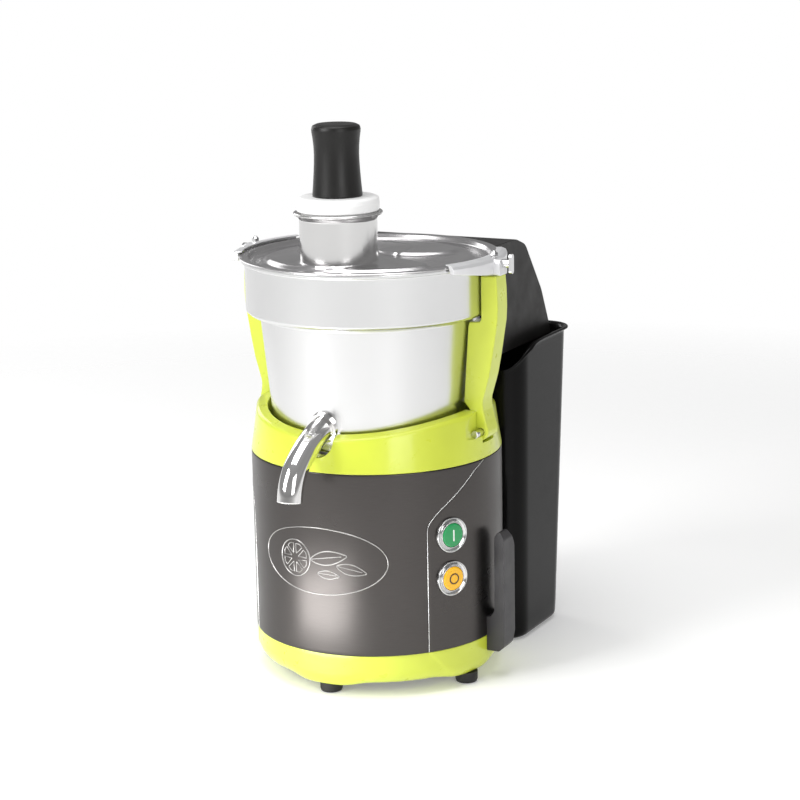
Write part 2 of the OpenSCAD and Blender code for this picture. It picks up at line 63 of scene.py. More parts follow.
WR0, WR1 = span("front_shell")
Z_WRAP0, Z_WRAP1 = WR0.z, WR1.z                     # steel wrap
R_HOUSE = span("base_ring")[1].x                    # housing radius
CY = WR0.y + R_HOUSE                                # housing centre from the bowl axis
Y_BACK = span("base_ring")[1].y                     # flat back
Z_RIM = span("lid")[1].z
R_LID = span("lid")[1].x
Z_BOWL0, Z_BOWL1 = span("bowl")[0].z, span("bowl")[1].z
TUBE0, TUBE1 = span("feed_tube")
TY = (TUBE0.y + TUBE1.y) / 2
R_TUBE = 41.25
Z_TUBE = TUBE1.z
PB0, PB1 = span("pusher_body")
PH0, PH1 = span("pusher_handle")
BIN0, BIN1 = span("pulp_container")
CH0, CH1 = span("chute")
Z_COL1 = span("top_housing")[1].z
joints = {j["name"]: j for j in frame["joints"]}
PIV = (Vector(joints["right_arm_swing"]["pos_m"]) - Vector((AX.x, AX.y, 0))) * 1000


# ---------------------------------------------------------------- mesh helpers (millimetres from the bowl axis)
def fil(pts, closed=True, seg=5):
    """Rounds the corners of a polyline. A point is (x, y) or (x, y, radius)."""
    n = len(pts)
    out = []
    for i, p in enumerate(pts):
        r = p[2] if len(p) > 2 else 0
        if r <= 0 or (not closed and i in (0, n - 1)):
            out.append((p[0], p[1]))
            continue
        a = np.array(pts[(i - 1) % n][:2], float)
        b = np.array(p[:2], float)
        c = np.array(pts[(i + 1) % n][:2], float)
        u, v = a - b, c - b
        lu, lv = np.linalg.norm(u), np.linalg.norm(v)
        u, v = u / lu, v / lv
        ang = math.acos(max(-1, min(1, float(u @ v))))
        if ang > math.pi - 0.02:
            out.append((p[0], p[1]))
            continue
        t = min(r / math.tan(ang / 2), 0.49 * lu, 0.49 * lv)
        r = t * math.tan(ang / 2)
        m = (u + v) / np.linalg.norm(u + v)
        ctr = b + m * (r / math.sin(ang / 2))
        p0, p1 = b + u * t - ctr, b + v * t - ctr
        a0 = math.atan2(p0[1], p0[0])
        d = math.atan2(p0[0] * p1[1] - p0[1] * p1[0], float(p0 @ p1))
        for k in range(seg + 1):
            q = a0 + d * k / seg
            out.append((ctr[0] + r * math.cos(q), ctr[1] + r * math.sin(q)))
    return out


def finish_mesh(name, verts, faces, mat, body, rep=(), slot=None, sharp=32, mods=(), mats=None):
    me = bpy.data.meshes.new(name)
    me.from_pydata([(v[0] / 1000 + AX.x, v[1] / 1000 + AX.y, v[2] / 1000) for v in verts], [], faces)
    me.validate()
    bm = bmesh.new()
    bm.from_mesh(me)
    bmesh.ops.remove_doubles(bm, verts=bm.verts, dist=1e-6)
    bmesh.ops.recalc_face_normals(bm, faces=bm.faces)
    bm.to_mesh(me)
    bm.free()
    for p in me.polygons:
        p.use_smooth = True
    me.set_sharp_from_angle(angle=math.radians(sharp))
    ob = bpy.data.objects.new(name, me)
    scene.collection.objects.link(ob)
    me.materials.append(mat)
    for m in mats or ():
        me.materials.append(m)
    if body:
        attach(ob, body)
    if rep:
        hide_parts(*([rep] if isinstance(rep, str) else rep))
    for m in mods:
        m(ob)
    return ob


def revolve_data(prof, n=180, cx=0.0, cy=0.0):
    verts, rows = [], []
    for r, z in prof:
        if r < 1e-6:
            verts.append((cx, cy, z))
            rows.append([len(verts) - 1] * n)
        else:
            row = []
            for i in range(n):
                t = 2 * math.pi * i / n
                verts.append((cx + r * math.cos(t), cy + r * math.sin(t), z))
                row.append(len(verts) - 1)
            rows.append(row)
    faces = []
    m = len(rows)
    for j in range(m):
        a, b = rows[j], rows[(j + 1) % m]
        if prof[j][0] < 1e-6 and prof[(j + 1) % m][0] < 1e-6:
            continue
        for i in range(n):
            k = (i + 1) % n
            f = []
            for q in (a[i], a[k], b[k], b[i]):
                if q not in f:
                    f.append(q)
            if len(f) > 2:
                faces.append(f)
    return verts, faces


def grid_data(P, close_i=False, close_j=False):
    """P is rows of points; returns vertices and quads."""
    J, I = len(P), len(P[0])
    verts = [tuple(p) for row in P for p in row]
    faces = []
    for j in range(J if close_j else J - 1):
        for i in range(I if close_i else I - 1):
            a, b = j * I + i, j * I + (i + 1) % I
            c, d = ((j + 1) % J) * I + (i + 1) % I, ((j + 1) % J) * I + i
            faces.append((a, b, c, d))
    return verts, faces


def join(*parts):
    verts, faces = [], []
    for v, f in parts:
        o = len(verts)
        verts += list(v)
        faces += [tuple(q + o for q in g) for g in f]
    return verts, faces


def prism(poly, a0, a1, axis):
    """Extrudes a closed 2-D outline between a0 and a1 along x, y or z."""
    n = len(poly)
    def put(p, a):
        return {"x": (a, p[0], p[1]), "y": (p[0], a, p[1]), "z": (p[0], p[1], a)}[axis]
    verts = [put(p, a0) for p in poly] + [put(p, a1) for p in poly]
    faces = [tuple(range(n))[::-1], tuple(range(n, 2 * n))]
    faces += [(i, (i + 1) % n, n + (i + 1) % n, n + i) for i in range(n)]
    return verts, faces


def moved(data, M):
    v, f = data
    return [tuple(M @ Vector(p)) for p in v], f


def m_bevel(w, seg=3, ang=32):
    def go(ob):
        m = ob.modifiers.new("edge", "BEVEL")
        m.width = w / 1000
        m.segments = seg
        m.limit_method = "ANGLE"
        m.angle_limit = math.radians(ang)
        m.harden_normals = False
        m.miter_outer = "MITER_ARC"
        m.use_clamp_overlap = True
    return go


def m_subsurf(level):
    def go(ob):
        m = ob.modifiers.new("smooth", "SUBSURF")
        m.levels = m.render_levels = level
    return go


def m_weighted(ob):
    m = ob.modifiers.new("normals", "WEIGHTED_NORMAL")
    m.keep_sharp = True
    m.weight = 80


def cutter(name, data):
    me = bpy.data.meshes.new(name)
    v, f = data
    me.from_pydata([(p[0] / 1000 + AX.x, p[1] / 1000 + AX.y, p[2] / 1000) for p in v], [], f)
    bm = bmesh.new()
    bm.from_mesh(me)
    bmesh.ops.remove_doubles(bm, verts=bm.verts, dist=1e-6)
    bmesh.ops.recalc_face_normals(bm, faces=bm.faces)
    bm.to_mesh(me)
    bm.free()
    ob = bpy.data.objects.new(name, me)
    scene.collection.objects.link(ob)
    return ob


def cut(ob, datas, op="DIFFERENCE"):
    """Applies booleans at once, so that only the finished mesh stays."""
    made = []
    for k, d in enumerate(datas):
        c = cutter("cut_%d" % k, d)
        made.append(c)
        m = ob.modifiers.new("b", "BOOLEAN")
        m.operation = op
        m.solver = "EXACT"
        m.object = c
    apply_mods(ob)
    for c in made:
        bpy.data.objects.remove(c)


def apply_mods(ob):
    dg = bpy.context.evaluated_depsgraph_get()
    dg.update()
    me = bpy.data.meshes.new_from_object(ob.evaluated_get(dg))
    old = ob.data
    ob.modifiers.clear()
    ob.data = me
    bpy.data.meshes.remove(old)
    for p in me.polygons:
        p.use_smooth = True
    me.set_sharp_from_angle(angle=math.radians(32))


def rod_data(p, d, r, l, n=48, r2=None):
    """Cylinder from p along direction d."""
    d = Vector(d).normalized()
    q = Vector((0, 0, 1)).rotation_difference(d).to_matrix().to_4x4()
    M = Matrix.Translation(Vector(p)) @ q
    prof = [(0, 0), (r, 0), (r if r2 is None else r2, l), (0, l)]
    return moved(revolve_data(prof, n), M)


def box_data(lo, hi):
    x0, y0, z0 = lo
    x1, y1, z1 = hi
    return prism([(x0, y0), (x1, y0), (x1, y1), (x0, y1)], z0, z1, "z")


# ---------------------------------------------------------------- materials
class Mat:
    def __init__(self, name, base, rough=0.5, metal=0.0, **kw):
        self.m = bpy.data.materials.new(name)
        self.m.use_nodes = True
        self.nt = self.m.node_tree
        self.p = self.nt.nodes["Principled BSDF"]
        self.p.inputs["Base Color"].default_value = (*base, 1)
        self.p.inputs["Roughness"].default_value = rough
        self.p.inputs["Metallic"].default_value = metal
        for k, v in kw.items():
            self.p.inputs[k.replace("_", " ")].default_value = v
        self.base = base
        self.co = self.nt.nodes.new("ShaderNodeTexCoord").outputs["Object"]

    def node(self, kind, **kw):
        n = self.nt.nodes.new(kind)
        for k, v in kw.items():
            if k in n.inputs:
                n.inputs[k].default_value = v
            else:
                setattr(n, k, v)
        return n

    def link(self, a, b):
        self.nt.links.new(a, b)

    def noise(self, scale, stretch=(1, 1, 1), detail=3.0, vec=None, rough=0.55):
        mp = self.node("ShaderNodeMapping")
        mp.inputs["Scale"].default_value = stretch
        self.link(vec or self.co, mp.inputs["Vector"])
        n = self.node("ShaderNodeTexNoise", Scale=scale, Detail=detail, Roughness=rough)
        self.link(mp.outputs["Vector"], n.inputs["Vector"])
        return n.outputs["Fac"]

    def rng(self, fac, a, b, lo=0.3, hi=0.7):
        n = self.node("ShaderNodeMapRange")
        n.inputs["From Min"].default_value = lo
        n.inputs["From Max"].default_value = hi
        n.inputs["To Min"].default_value = a
        n.inputs["To Max"].default_value = b
        self.link(fac, n.inputs["Value"])
        return n.outputs["Result"]

    def tint(self, fac, c0, c1, lo=0.3, hi=0.7):
        n = self.node("ShaderNodeValToRGB")
        n.color_ramp.elements[0].position = lo
        n.color_ramp.elements[0].color = (*c0, 1)
        n.color_ramp.elements[1].position = hi
        n.color_ramp.elements[1].color = (*c1, 1)
        self.link(fac, n.inputs["Fac"])
        self.link(n.outputs["Color"], self.p.inputs["Base Color"])
        return n

    def rough(self, fac, a, b, lo=0.3, hi=0.7):
        self.link(self.rng(fac, a, b, lo, hi), self.p.inputs["Roughness"])

    def bump(self, fac, strength, dist):
        n = self.node("ShaderNodeBump", Strength=strength, Distance=dist)
        self.link(fac, n.inputs["Height"])
        if self.p.inputs["Normal"].is_linked:
            self.link(self.p.inputs["Normal"].links[0].from_socket, n.inputs["Normal"])
        self.link(n.outputs["Normal"], self.p.inputs["Normal"])

    def around(self, cy, r=0.138):
        """Coordinates that run round a vertical axis at y = cy: (arc length, 0, height)."""
        s = self.node("ShaderNodeSeparateXYZ")
        self.link(self.co, s.inputs[0])
        y = self.node("ShaderNodeMath", operation="SUBTRACT")
        self.link(s.outputs["Y"], y.inputs[0])
        y.inputs[1].default_value = cy
        a = self.node("ShaderNodeMath", operation="ARCTAN2")
        self.link(s.outputs["X"], a.inputs[0])
        self.link(y.outputs[0], a.inputs[1])
        m = self.node("ShaderNodeMath", operation="MULTIPLY")
        self.link(a.outputs[0], m.inputs[0])
        m.inputs[1].default_value = r
        c = self.node("ShaderNodeCombineXYZ")
        self.link(m.outputs[0], c.inputs["X"])
        self.link(s.outputs["Z"], c.inputs["Z"])
        return c.outputs[0]

    def tangent(self):
        t = self.node("ShaderNodeTangent")
        t.direction_type = "RADIAL"
        t.axis = "Z"
        self.link(t.outputs[0], self.p.inputs["Tangent"])


def shade(c, k):
    return tuple(max(0, min(1, v * k)) for v in c)


def paint(name, base, rough=0.3, coat=0.5):
    m = Mat(name, base, rough, Coat_Weight=coat, Coat_Roughness=0.12, Specular_IOR_Level=0.5)
    peel = m.noise(900, detail=2)
    big = m.noise(14, detail=3)
    m.tint(big, shade(base, 0.95), shade(base, 1.04))
    m.rough(m.noise(60, detail=4), rough - 0.04, rough + 0.07)
    m.bump(peel, 0.12, 0.00015)
    return m


def brushed(name, base, rough, cy, aniso=0.55, streak=1.0, var=0.06):
    m = Mat(name, base, rough, 1.0, Anisotropic=aniso)
    c = m.around(cy)
    hair = m.noise(1.0, (55, 1, 5200), 4.0, c, 0.7)
    fine = m.noise(1.0, (160, 1, 11000), 2.0, c, 0.6)
    cloud = m.noise(9, (1, 1, 1.5), 3.0)
    m.tint(hair, shade(base, 1 - var * 1.6), shade(base, 1 + var * 1.6), 0.34, 0.66)
    m.rough(cloud, rough - 0.03, rough + 0.05)
    m.bump(hair, 0.10 * streak, 0.00006)
    m.bump(fine, 0.06 * streak, 0.00004)
    m.tangent()
    return m


def brushed_flat(name, base, rough, stretch=(4000, 60, 60), var=0.06):
    m = Mat(name, base, rough, 1.0)
    hair = m.noise(1.0, stretch, 4.0, None, 0.7)
    m.tint(hair, shade(base, 1 - var), shade(base, 1 + var), 0.34, 0.66)
    m.rough(m.noise(12, detail=3), rough - 0.04, rough + 0.05)
    m.bump(hair, 0.1, 0.00005)
    return m


def polished(name, base=(0.86, 0.86, 0.85), rough=0.1, cy=None, spread=0.05, aniso=0.0):
    m = Mat(name, base, rough, 1.0, Anisotropic=aniso)
    smear = m.noise(7, (1, 1, 1.3), 4.0)
    m.rough(smear, rough, rough + spread)
    m.tint(m.noise(3.5, detail=2), shade(base, 0.96), shade(base, 1.03))
    if cy is None:
        m.bump(m.noise(420, detail=3), 0.03, 0.00005)
    else:
        hair = m.noise(1.0, (40, 1, 3800), 3.0, m.around(cy), 0.65)
        m.bump(hair, 0.05, 0.00004)
    if aniso:
        m.tangent()
    return m


def plastic(name, base, rough, grain=1200, depth=0.0001, strength=0.25, coat=0.0, var=0.12, **kw):
    m = Mat(name, base, rough, Coat_Weight=coat, Coat_Roughness=0.06, **kw)
    m.tint(m.noise(11, detail=3), shade(base, 1 - var), shade(base, 1 + var))
    m.rough(m.noise(45, detail=4), max(0.02, rough - 0.05), rough + 0.06)
    m.bump(m.noise(grain, detail=2), strength, depth)
    return m


LIME = (0.60, 0.68, 0.055)
CYW = AX.y + CY / 1000
lime = paint("lime_enamel", LIME, 0.30, 0.45)
wrap_steel = brushed("wrap_steel", (0.080, 0.074, 0.071), 0.29, CYW, 0.62)
emblem_steel = polished("emblem_steel", (0.46, 0.45, 0.44), 0.28)
# bright polished steel for the seam beads: a painted highlight along the seams
seam_highlight_steel = polished("seam_highlight_steel", (0.80, 0.80, 0.79), 0.16)
bowl_steel = polished("bowl_steel", (0.70, 0.70, 0.70), 0.20, AX.y, 0.06, 0.3)
lid_steel = brushed("lid_steel", (0.56, 0.55, 0.555), 0.24, AX.y, 0.4, 0.6, 0.04)
tube_steel = polished("tube_steel", (0.68, 0.675, 0.67), 0.17, AX.y + TY / 1000, 0.06, 0.4)
spout_steel = polished("spout_steel", (0.84, 0.83, 0.82), 0.05)
chrome = polished("chrome_trim", (0.66, 0.66, 0.66), 0.06)
cast = Mat("cast_aluminium", (0.80, 0.80, 0.805), 0.42, 0.6)
cast.rough(cast.noise(90, detail=4), 0.36, 0.48)
cast.bump(cast.noise(700, detail=3), 0.15, 0.00012)
cast.tint(cast.noise(20), (0.72, 0.72, 0.73), (0.82, 0.82, 0.83))
hood = plastic("hood_plastic", (0.0105, 0.0095, 0.0090), 0.46, 1500, 0.00012, 0.3, Specular_IOR_Level=0.3)
bin_black = plastic("bin_plastic", (0.0022, 0.0020, 0.0020), 0.20, 500, 0.00004, 0.12, Specular_IOR_Level=0.12)
hook_grey = plastic("hook_plastic", (0.034, 0.032, 0.034), 0.40, 1400, 0.0001, 0.25, Specular_IOR_Level=0.4)
white = plastic("pusher_white", (0.86, 0.86, 0.855), 0.34, 700, 0.00005, 0.12, 0.1, 0.02)
grip = plastic("grip_black", (0.0065, 0.006, 0.0055), 0.40, 900, 0.00012, 0.3, Specular_IOR_Level=0.35)
rubber = plastic("foot_rubber", (0.010, 0.010, 0.010), 0.62, 1100, 0.0002, 0.4)
green = plastic("cap_green", (0.010, 0.30, 0.085), 0.24, 600, 0.00003, 0.1, 0.3, 0.04)
amber = plastic("cap_amber", (0.95, 0.50, 0.012), 0.24, 600, 0.00003, 0.1, 0.3, 0.04)
mark_white = plastic("mark_white", (0.85, 0.90, 0.86), 0.35, 600, 0.00003, 0.1, 0.0, 0.03)
mark_dark = plastic("mark_dark", (0.06, 0.03, 0.01), 0.4, 600, 0.00003, 0.1, 0.0, 0.05)
inner_steel = brushed_flat("inner_steel", (0.62, 0.62, 0.61), 0.26)
iron = brushed_flat("iron_laminate", (0.30, 0.30, 0.31), 0.42, (40, 40, 1600), 0.18)
copper = Mat("copper_winding", (0.70, 0.26, 0.09), 0.35, 0.9)
copper.bump(copper.noise(1.0, (300, 300, 2600), 3.0), 0.6, 0.0004)
copper.tint(copper.noise(1.0, (200, 200, 2600), 3.0), (0.50, 0.15, 0.04), (0.80, 0.34, 0.13))
device = plastic("device_plastic", (0.045, 0.05, 0.058), 0.45, 900, 0.0001, 0.25)
cream = plastic("terminal_plastic", (0.74, 0.72, 0.62), 0.45, 900, 0.0001, 0.2, 0.0, 0.05)
wire = plastic("wire_sleeve", (0.018, 0.018, 0.02), 0.5, 1500, 0.0001, 0.3)

for n, m in {
    "bottom_plate": inner_steel, "foot_screws": chrome, "cover_screws": chrome, "motor_deck": cast,
    "shaft_seal": rubber, "arm_pins": chrome, "spout_ring": spout_steel, "motor_housing": cast,
    "stator_core": iron, "stator_windings": copper, "lower_end_shield": cast, "upper_end_shield": cast,
    "lower_bearing": chrome, "upper_bearing": chrome, "motor_pillars": cast, "capacitor": inner_steel,
    "brake_module": device, "terminal_block": cream, "wire_harness": wire, "cable_gland": rubber,
    "safety_switch": device, "start_contact": device, "stop_contact": device, "motor_shaft": chrome,
    "rotor_core": iron, "cooling_fan": device, "drive_hub": inner_steel, "basket": inner_steel,
    "grating_disc": inner_steel, "disc_nut": chrome, "jaw_right": cast, "jaw_left": cast,
    "clamp_bolt_right": chrome, "clamp_bolt_left": chrome, "cap_nut_right": chrome, "cap_nut_left": chrome,
    "pusher_screw": chrome, "rear_cover": wrap_steel,
}.items():
    NODES[n].data.materials.clear()
    NODES[n].data.materials.append(m.m)


def soften(node, w, seg=3, ang=35):
    """Rounds a carried-over node's hard edges with modifiers only."""
    o = NODES[node]
    m_bevel(w, seg, ang)(o)
    m_weighted(o)


for n, w in (("clamp_bolt_right", 0.8), ("clamp_bolt_left", 0.8), ("cap_nut_right", 0.35), ("cap_nut_left", 0.35),
             ("cover_screws", 0.5), ("cable_gland", 0.5), ("arm_pins", 0.6),
             ("rear_cover", 0.4), ("spout_ring", 0.8)):
    soften(n, w)


# ---------------------------------------------------------------- plan of the housing: a circle with a flat back
def dplan(t, R, yb, p=26):
    """Radius from the housing's centre at angle t from the spout side."""
    c = -math.cos(t)                       # towards +Y
    a = (1 / R) ** p
    if c > 0.05:
        a += (c / (yb - CY)) ** p
    return a ** (-1 / p)


def at(t, r, z, cy=None):
    return (r * math.sin(t), (CY if cy is None else cy) - r * math.cos(t), z)


def wrapang(d):
    return (d + 180) % 360 - 180


# ---------------------------------------------------------------- base ring
FEET = [(0, -108), (121, -22), (0, 78), (-121, -22)]
foot_t = [math.degrees(math.atan2(x, CY - y)) for x, y in FEET]


def lobe(deg, w=17.0):
    return max(math.exp(-(wrapang(deg - f) / w) ** 4) for f in (foot_t[0], foot_t[1], foot_t[3]))


def crease(deg, z):
    """How far the corner panels stand proud of the front: 0 in front of the crease, 1 behind it."""
    c = 50 + 13 * max(0, min(1, (Z_WRAP0 - z) / 34.0))
    d = abs(wrapang(deg)) - c
    return 1 / (1 + math.exp(-d / 0.25)) if abs(d) < 8 else (1.0 if d > 0 else 0.0)


def ring_rows():
    I = 720
    rows = []
    outer = []
    for k in range(9):                                   # down the outside
        outer.append(("side", k / 8))
    for k in range(1, 13):                               # round the lower edge
        outer.append(("arc", k / 12))
    for kind, q in outer:
        row = []
        for i in range(I):
            deg = i * 360 / I
            t = math.radians(deg)
            L = lobe(deg)
            zb = 14 - 3.2 * L
            za = 31 - 5 * L
            R = dplan(t, R_HOUSE - 0.25, Y_BACK - 0.3)
            rb = 16 - 6.5 * L
            if kind == "side":
                z = Z_WRAP0 - 0.3 - (Z_WRAP0 - 0.3 - za) * q
                r = R - 0.35 * (1 - math.exp(-q * 6))
                if q == 0:
                    r -= 0.5
            else:
                a = q * math.pi / 2
                z = za - (za - zb) * math.sin(a)
                r = R - 0.35 - rb * (1 - math.cos(a))
            r -= 0.9 * (1 - crease(deg, z)) * (1 if abs(wrapang(deg)) < 100 else 0)
            row.append(at(t, r, z))
        rows.append(row)
    tail = [(-26, 14.6), (-26, 18), (-21, 18.6), (-7, 29), (-4.5, 33), (-4.5, 44), (-2.4, 44), (-2.4, Z_WRAP0 - 0.3)]
    for dr, z in tail:
        row = []
        for i in range(I):
            t = math.radians(i * 360 / I)
            row.append(at(t, dplan(t, R_HOUSE, Y_BACK) + dr, z))
        rows.append(row)
    return rows


finish_mesh("base_ring_shell", *grid_data(ring_rows(), close_i=True, close_j=True), lime.m, "base", "base_ring", "lime_paint", 30)


# ---------------------------------------------------------------- steel wrap, in two panels that meet on the seam
SEAM = [(Z_WRAP0, 50.0), (182, 50.0), (186, 50.2), (190, 50.9), (194, 52.2), (199, 54.2), (205, 57.2), (217, 64.6), (228, 70.8), (239, 77.0), (Z_WRAP1, 84.5)]


def seam_deg(z):
    zs, ds = zip(*SEAM)
    return float(np.interp(z, zs, ds))


def panel(name, rear):
    nz, nt = 70, 90
    T = 1.6
    zz = [Z_WRAP0 + 0.25, Z_WRAP0 + 0.6] + list(np.linspace(Z_WRAP0 + 1.4, Z_WRAP1 - 1.4, nz)) + [Z_WRAP1 - 0.6, Z_WRAP1 - 0.25]
    gap = 0.16
    lay = []
    for side in (0, 1):
        rows = []
        for j, z in enumerate(zz):
            s = seam_deg(z)
            if rear:
                a0, a1 = s + gap, 360 - s - gap
            else:
                a0, a1 = -s + gap, s - gap
            # extra columns at the two seam edges carry the rolled edge
            us = [0, 0.0012, 0.0035] + list(np.linspace(0.008, 0.992, (2 if rear else 1) * nt)) + [0.9965, 0.9988, 1]
            row = []
            for k, u in enumerate(us):
                deg = a0 + (a1 - a0) * u
                t = math.radians(deg)
                R = dplan(t, R_HOUSE, Y_BACK)
                if side:
                    R -= T
                else:
                    e = min(k, len(us) - 1 - k)
                    R -= (0.75, 0.22, 0.0)[e] if e < 3 else 0
                    v = min(j, len(zz) - 1 - j)
                    R -= (0.4, 0.1)[v] if v < 2 else 0
                row.append(at(t, R, z))
            rows.append(row)
        lay.append(rows)
    out, inn = lay
    J, I = len(out), len(out[0])
    verts = [p for r in out for p in r] + [p for r in inn for p in r]
    o = J * I
    faces = []
    for j in range(J - 1):
        for i in range(I - 1):
            a = j * I + i
            faces.append((a, a + 1, a + I + 1, a + I))
            faces.append((o + a, o + a + I, o + a + I + 1, o + a + 1))
    for i in range(I - 1):
        faces.append((i, o + i, o + i + 1, i + 1))
        a = (J - 1) * I + i
        faces.append((a, a + 1, o + a + 1, o + a))
    for j in range(J - 1):
        a = j * I
        faces.append((a, a + I, o + a + I, o + a))
        b = a + I - 1
        faces.append((b, o + b, o + b + I, b + I))
    return finish_mesh(name, verts, faces, wrap_steel.m, "base", "rear_shell" if rear else "front_shell", "brushed_wrap", 40)


panel("front_panel", False)
rear_panel = panel("rear_panel", True)

# ---------------------------------------------------------------- buttons
BT = math.radians(62)
bdir = Vector((math.sin(BT), -math.cos(BT), 0))
S0 = span("start_cap")
Z_START = (S0[0].z + S0[1].z) / 2
S1 = span("stop_cap")
Z_STOP = (S1[0].z + S1[1].z) / 2


def radial_matrix(z, r):
    q = Vector((0, 0, 1)).rotation_difference(bdir)
    up = Vector((0, 0, 1))
    side = up.cross(bdir)
    M = Matrix(((side.x, up.x, bdir.x, 0), (side.y, up.y, bdir.y, CY), (side.z, up.z, bdir.z, z), (0, 0, 0, 1)))
    return M @ Matrix.Translation((0, 0, r))


cut(rear_panel, [moved(rod_data((0, 0, 110), (0, 0, 1), 18.2, 40, 64), radial_matrix(z, 0)) for z in (Z_START, Z_STOP)]
    + [box_data((-78, 90, 72), (78, 120, 222))])

for who, z, m, body in (("start", Z_START, green, "start_button"), ("stop", Z_STOP, amber, "stop_button")):
    M = radial_matrix(z, 0)
    top = (span(who + "_bezel")[1] - Vector((0, CY, 0))).to_2d().length
    prof = fil([(18.9, 136.2), (19.4, 138.6, 0.5), (19.0, 140.6, 0.6), (18.0, 140.9, 0.4), (17.4, 140.0, 0.4), (14.6, 138.2, 0.4), (14.2, 141.2, 0.5), (13.3, 141.2, 0.3),
                (13.3, 117), (14.8, 117), (14.8, 136.2)])
    finish_mesh(who + "_bezel_ring", *moved(revolve_data(prof, 96), M), chrome.m, "base", who + "_bezel", "polished_steel", 40)
    prof = fil([(0, 142.9), (7, 142.7), (11.6, 142.3, 1.2), (12.9, 141.2, 0.9), (12.9, 130, 0.6), (5, 130), (5, 113, 0.5), (0, 113)], True, 5)
    cap = finish_mesh(who + "_cap_body", *moved(revolve_data(prof, 96), M), m.m, body, who + "_cap", "green_cap" if who == "start" else "amber_cap", 40)
    if who == "start":
        mk = prism(fil([(-0.8, -6.3, 0.7), (0.8, -6.3, 0.7), (0.8, 6.3, 0.7), (-0.8, 6.3, 0.7)]), 142.2, 143.15, "z")
        mm = mark_white
    else:
        mk = revolve_data(fil([(4.6, 142.2), (6.1, 142.2), (6.1, 143.1, 0.2), (4.6, 143.1, 0.2)]), 64)
        mm = mark_dark
    finish_mesh(who + "_mark", *moved(mk, M), mm.m, body, (), None, 40)

# ---------------------------------------------------------------- emblem: raised lines on the front panel
def ribbon(pts, w, h, closed=True):
    """Rounded raised line along points (x along the arc, z), laid on the housing."""
    n = len(pts)
    sec = [(-0.5, -0.25), (-0.5, 0.1), (-0.28, 0.75), (0, 1.0), (0.28, 0.75), (0.5, 0.1), (0.5, -0.25)]
    rows = []
    for i in range(n):
        p = Vector(pts[i])
        a = Vector(pts[(i - 1) % n]) if closed or i else p
        b = Vector(pts[(i + 1) % n]) if closed or i < n - 1 else p
        d = (b - a).normalized()
        nrm = Vector((-d.y, d.x))
        row = []
        for u, v in sec:
            q = p + nrm * (u * w)
            t = q.x / R_HOUSE
            row.append(at(t, R_HOUSE + v * h, q.y))
        rows.append(row)
    v, f = grid_data(rows, close_i=True, close_j=closed)
    if not closed:
        k = len(sec)
        f = f + [tuple(range(k))[::-1], tuple(range((n - 1) * k, n * k))]
    return v, f


ZE = (span("front_emblem")[0].z + span("front_emblem")[1].z) / 2
parts = [ribbon([(77 * math.cos(a), ZE + 36.6 * math.sin(a)) for a in np.linspace(0, 2 * math.pi, 160, endpoint=False)], 1.3, 0.75)]
cx0 = -30
parts.append(ribbon([(cx0 + 20 * math.cos(a), ZE + 20 * math.sin(a)) for a in np.linspace(0, 2 * math.pi, 72, endpoint=False)], 1.5, 0.75))
for k in range(8):
    a0 = math.radians(45 * k + 22.5)
    w = [(cx0 + r * math.cos(a0 + d), ZE + r * math.sin(a0 + d)) for r, d in
         fil([(4.5, 0.0, 0.02), (15.5, -0.30, 0.1), (16.6, 0.0, 0.1), (15.5, 0.30, 0.1)], True, 3)]
    parts.append(ribbon(w, 1.0, 0.6))


def leaf(cx, cz, ln, wd, tilt):
    up = [(ln * (u - 0.5), wd * math.sin(math.pi * u) ** 0.8 * (1 - 0.25 * u)) for u in np.linspace(0.02, 0.98, 22)]
    dn = [(x, -y) for x, y in reversed(up)]
    c, s = math.cos(tilt), math.sin(tilt)
    rot = lambda p: (cx + p[0] * c - p[1] * s, cz + p[0] * s + p[1] * c)
    a = ribbon([rot(p) for p in up + dn], 1.3, 0.75)
    b = ribbon([rot((ln * (u - 0.5), 0.4 * math.sin(3.1 * u))) for u in np.linspace(0.04, 0.85, 14)], 0.9, 0.5, False)
    return [a, b]


parts += leaf(12, ZE + 4.5, 44, 8.5, 0.16)
parts += leaf(38, ZE - 7, 34, 6.5, -0.22)
parts += leaf(12, ZE - 14, 26, 5.0, -0.06)
finish_mesh("emblem_lines", *join(*parts), emblem_steel.m, "base", "front_emblem", "satin_steel", 60)

# ---------------------------------------------------------------- top housing
CIN, RIN = 4.0, 116.1


def saddle(x):
    """Height of the top edge at x."""
    return 287.2 + x * x / 1000


def ear(ad):
    """1 round the fork, 0 elsewhere."""
    return math.exp(-((ad - 84) / 15.5) ** 4)


def collar_rows():
    I = 540
    cols = []
    for i in range(I):
        deg = i * 360 / I
        ad = abs(wrapang(deg))
        t = math.radians(deg)
        e = ear(ad)
        zi = saddle(RIN * math.sin(t))
        rc = 130.9 + 2.6 * e
        zc = saddle(rc * math.sin(t)) - 4.2 - 1.5 * e
        zm = 268 + 6 * e
        rm = 138 - (zm - Z_WRAP1) * 0.158 + (zm - Z_WRAP1) * 0.15 * e
        prof = fil([(137.5, Z_WRAP1 + 0.3), (138.0, Z_WRAP1 + 1.1), (rm, zm), (rc, zc, 5.5), (RIN + 0.6, zi, 1.6), (RIN, zi - 3)], False, 8)
        prof += [(RIN, 275), (RIN, 259), (109, 257), (108.5, 249.0), (109, Z_WRAP1 + 0.3)]
        cols.append([at(t, r, z, CIN + (CY - CIN) * min(1, max(0, (r - RIN) / (129 - RIN)))) for r, z in prof])
    n = min(len(c) for c in cols)
    assert all(len(c) == n for c in cols)
    return [[c[k] for c in cols] for k in range(n)]


